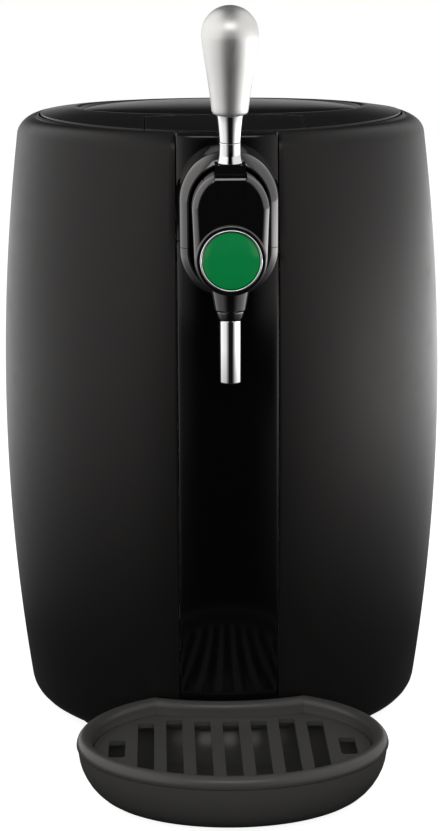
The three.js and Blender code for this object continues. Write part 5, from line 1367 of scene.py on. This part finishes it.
def photo_camera():
    """The camera at the photograph's viewing angle."""
    data = bpy.data.cameras.new("photo_camera")
    data.lens = CAMERA_LENS
    data.sensor_width = 36
    data.clip_start = 0.05
    flat = math.cos(CAMERA_PITCH)
    forward = Vector((math.sin(CAMERA_YAW) * flat, math.cos(CAMERA_YAW) * flat, -math.sin(CAMERA_PITCH)))
    level = Vector((math.cos(CAMERA_YAW), -math.sin(CAMERA_YAW), 0))
    upright = level.cross(forward)
    right = math.cos(CAMERA_ROLL) * level + math.sin(CAMERA_ROLL) * upright
    up = -math.sin(CAMERA_ROLL) * level + math.cos(CAMERA_ROLL) * upright
    camera = linked("photo_camera", data)
    turn = Matrix((right, up, -forward)).transposed().to_4x4()
    camera.matrix_world = Matrix.Translation(CAMERA_PLACE) @ turn
    bpy.context.scene.camera = camera


def soft_lamp(name, place, aim, size_xy, power, mirrored=False):
    """An area lamp that the camera doesn't see, and mirrors only if wanted."""
    data = bpy.data.lights.new(name, "AREA")
    data.shape = "RECTANGLE"
    data.size, data.size_y = size_xy
    data.energy = power
    lamp = linked(name, data)
    lamp.visible_camera = False
    lamp.visible_glossy = mirrored
    lamp.location = place
    lamp.rotation_euler = (Vector(aim) - Vector(place)).to_track_quat("-Z", "Y").to_euler()


def studio_world():
    """White for the camera; for reflections bright on both sides, dark in front and overhead."""
    world = bpy.data.worlds.new("studio")
    bpy.context.scene.world = world
    world.use_nodes = True
    tree = world.node_tree
    ramp = partial(map_range, tree)
    x, y, z = add_node(tree, "SeparateXYZ", {"Vector": add_node(tree, "TexCoord")["Generated"]})
    low_back = ramp(z, 0.07, 0.2, 0.45, 0.01)
    behind = ramp(y, -0.2, 0.2, 0.0, low_back)
    middle = ramp(z, 0.35, 0.8, behind, 0.09)
    narrow = ramp(y, -0.4, 0.4, 0.2, 0.15)
    wide = ramp(y, -0.4, 0.4, 0.62, 0.55)
    strong = ramp(x, -0.6, 0.6, 1.08, 0.82)
    sideways = calculate(tree, "ABSOLUTE", x)
    around = ramp(sideways, narrow, wide, middle, strong, "SMOOTHSTEP")
    given = calculate(tree, "MULTIPLY", around, choose(tree, "Is Glossy Ray", 0.6, 1.0))
    rays = add_node(tree, "LightPath")
    seen = calculate(tree, "MAXIMUM", rays["Is Camera Ray"], rays["Is Transmission Ray"])
    background = tree.nodes["Background"].inputs
    background["Color"].default_value = (1, 1, 1, 1)
    feed(tree, background["Strength"], calculate(tree, "MAXIMUM", given, seen))


def floor_finish():
    """Pale floor that the camera sees as white, with the object's shadow kept; in reflections it is near
    black and glows with painted light, dimmed near the object and strongest on the right.
    """
    material = bpy.data.materials.new("studio_floor")
    material.use_nodes = True
    tree = material.node_tree
    ramp = partial(map_range, tree)
    flat = object_vector(tree, (1, 1, 0))
    heading = add_node(tree, "VectorMath", {0: flat}, operation="NORMALIZE")["Vector"]
    x, y, _ = add_node(tree, "SeparateXYZ", {"Vector": heading})
    reach = add_node(tree, "VectorMath", {0: flat}, operation="LENGTH")["Value"]
    # Painted reflection: for glossy rays only, the floor glows; none in front, brighter to the sides,
    # strongest on the right from about 1.6 to 2.5 m out
    wider = ramp(y, -0.6, 0.2, 0.85, 1.1)
    even = ramp(y, -0.97, -0.7, 0.0, wider)
    brightest = ramp(y, 0.0, 0.7, 2.9, 2.2)
    bright = ramp(y, -0.92, -0.25, 0.0, brightest)
    painted_right_glow = ramp(reach, 2.5, 4.2, bright, even)
    right = ramp(reach, 0.4, 1.6, even, painted_right_glow)
    around = ramp(x, -0.25, 0.25, even, right)
    # Painted shade: the glow fades to 0.05 near the object, a contact shadow painted into reflections
    near = ramp(reach, 0.25, 1.1, 0.05, 1.0)
    painted_reflection_glow = choose(tree, "Is Glossy Ray", 0.0, calculate(tree, "MULTIPLY", around, near))
    white = ramp(reach, 0.5, 3.0, 0.86, 1.0)
    dress(tree, {
        "Roughness": 1.0, "Specular IOR Level": 0.0, "Emission Color": (1, 1, 1, 1),
        # Painted shade: glossy rays see a base colour of 0.004, near black, in place of 0.35
        "Base Color": choose(tree, "Is Glossy Ray", 0.35, 0.004),
        "Emission Strength": choose(tree, "Is Camera Ray", painted_reflection_glow, white)})
    material.cycles.emission_sampling = "NONE"
    return material


class DISPENSER_OT_studio(bpy.types.Operator):
    """Builds the floor, the lamps, the surround and the camera"""

    bl_idname = "dispenser.studio"
    bl_label = "Studio"

    def execute(self, context):
        studio = context.scene.studio_settings
        photo_camera()
        bm = bmesh.new()
        bmesh.ops.create_grid(bm, x_segments=8, y_segments=8, size=studio.floor_size)
        mesh = bpy.data.meshes.new("studio_floor")
        bm.to_mesh(mesh)
        bm.free()
        mesh.materials.append(floor_finish())
        linked("studio_floor", mesh)
        studio_world()
        side, middle = studio.side_light, STUDIO_MIDDLE
        soft_lamp("lamp_left", (-1.3, 0.2, 0.65), middle, (1.0, 2.0), side)
        soft_lamp("lamp_right", (1.27, 0.4, 0.65), middle, (1.0, 2.0), 1.2 * side)
        soft_lamp("lamp_front", (0, -1.18, 1.13), (0, -0.15, 0.42), (0.9, 0.75), studio.front_light, True)
        soft_lamp("lamp_top", (0, 0, 1.6), middle, (1.2, 1.2), studio.top_light)
        soft_lamp("lamp_fill", (0, -1.9, 0.7), middle, (1.6, 1.0), studio.fill_light)
        context.scene.view_settings.view_transform = "Standard"
        return {"FINISHED"}


class DISPENSER_PT_pieces(bpy.types.Panel):
    bl_label = "Beer dispenser"
    bl_space_type = "VIEW_3D"
    bl_region_type = "UI"
    bl_category = "Dispenser"

    def draw(self, context):
        for name in SETTINGS:
            box = self.layout.box()
            group = getattr(context.scene, name)
            for label in group.__class__.__annotations__:
                box.prop(group, label)
        for operator in OPERATORS:
            self.layout.operator(operator.bl_idname)


SETTINGS = {
    "barrel_settings": BarrelSettings, "lid_settings": LidSettings, "tap_settings": TapSettings,
    "lever_settings": LeverSettings, "tray_settings": TraySettings, "studio_settings": StudioSettings,
}
OPERATORS = (
    DISPENSER_OT_shells, DISPENSER_OT_strip, DISPENSER_OT_rear_cover, DISPENSER_OT_lid,
    DISPENSER_OT_lid_underside, DISPENSER_OT_well, DISPENSER_OT_tap, DISPENSER_OT_badge,
    DISPENSER_OT_lever, DISPENSER_OT_tray, DISPENSER_OT_feet, DISPENSER_OT_works, DISPENSER_OT_studio,
)


def register():
    for item in (*SETTINGS.values(), *OPERATORS, DISPENSER_PT_pieces):
        bpy.utils.register_class(item)
    for name, group in SETTINGS.items():
        setattr(bpy.types.Scene, name, PointerProperty(type=group))


def unregister():
    for name in SETTINGS:
        delattr(bpy.types.Scene, name)
    for item in reversed((*SETTINGS.values(), *OPERATORS, DISPENSER_PT_pieces)):
        bpy.utils.unregister_class(item)


def main():
    register()
    for operator in OPERATORS:
        section, action = operator.bl_idname.split(".")
        getattr(getattr(bpy.ops, section), action)()


if __name__ == "__main__":
    main()
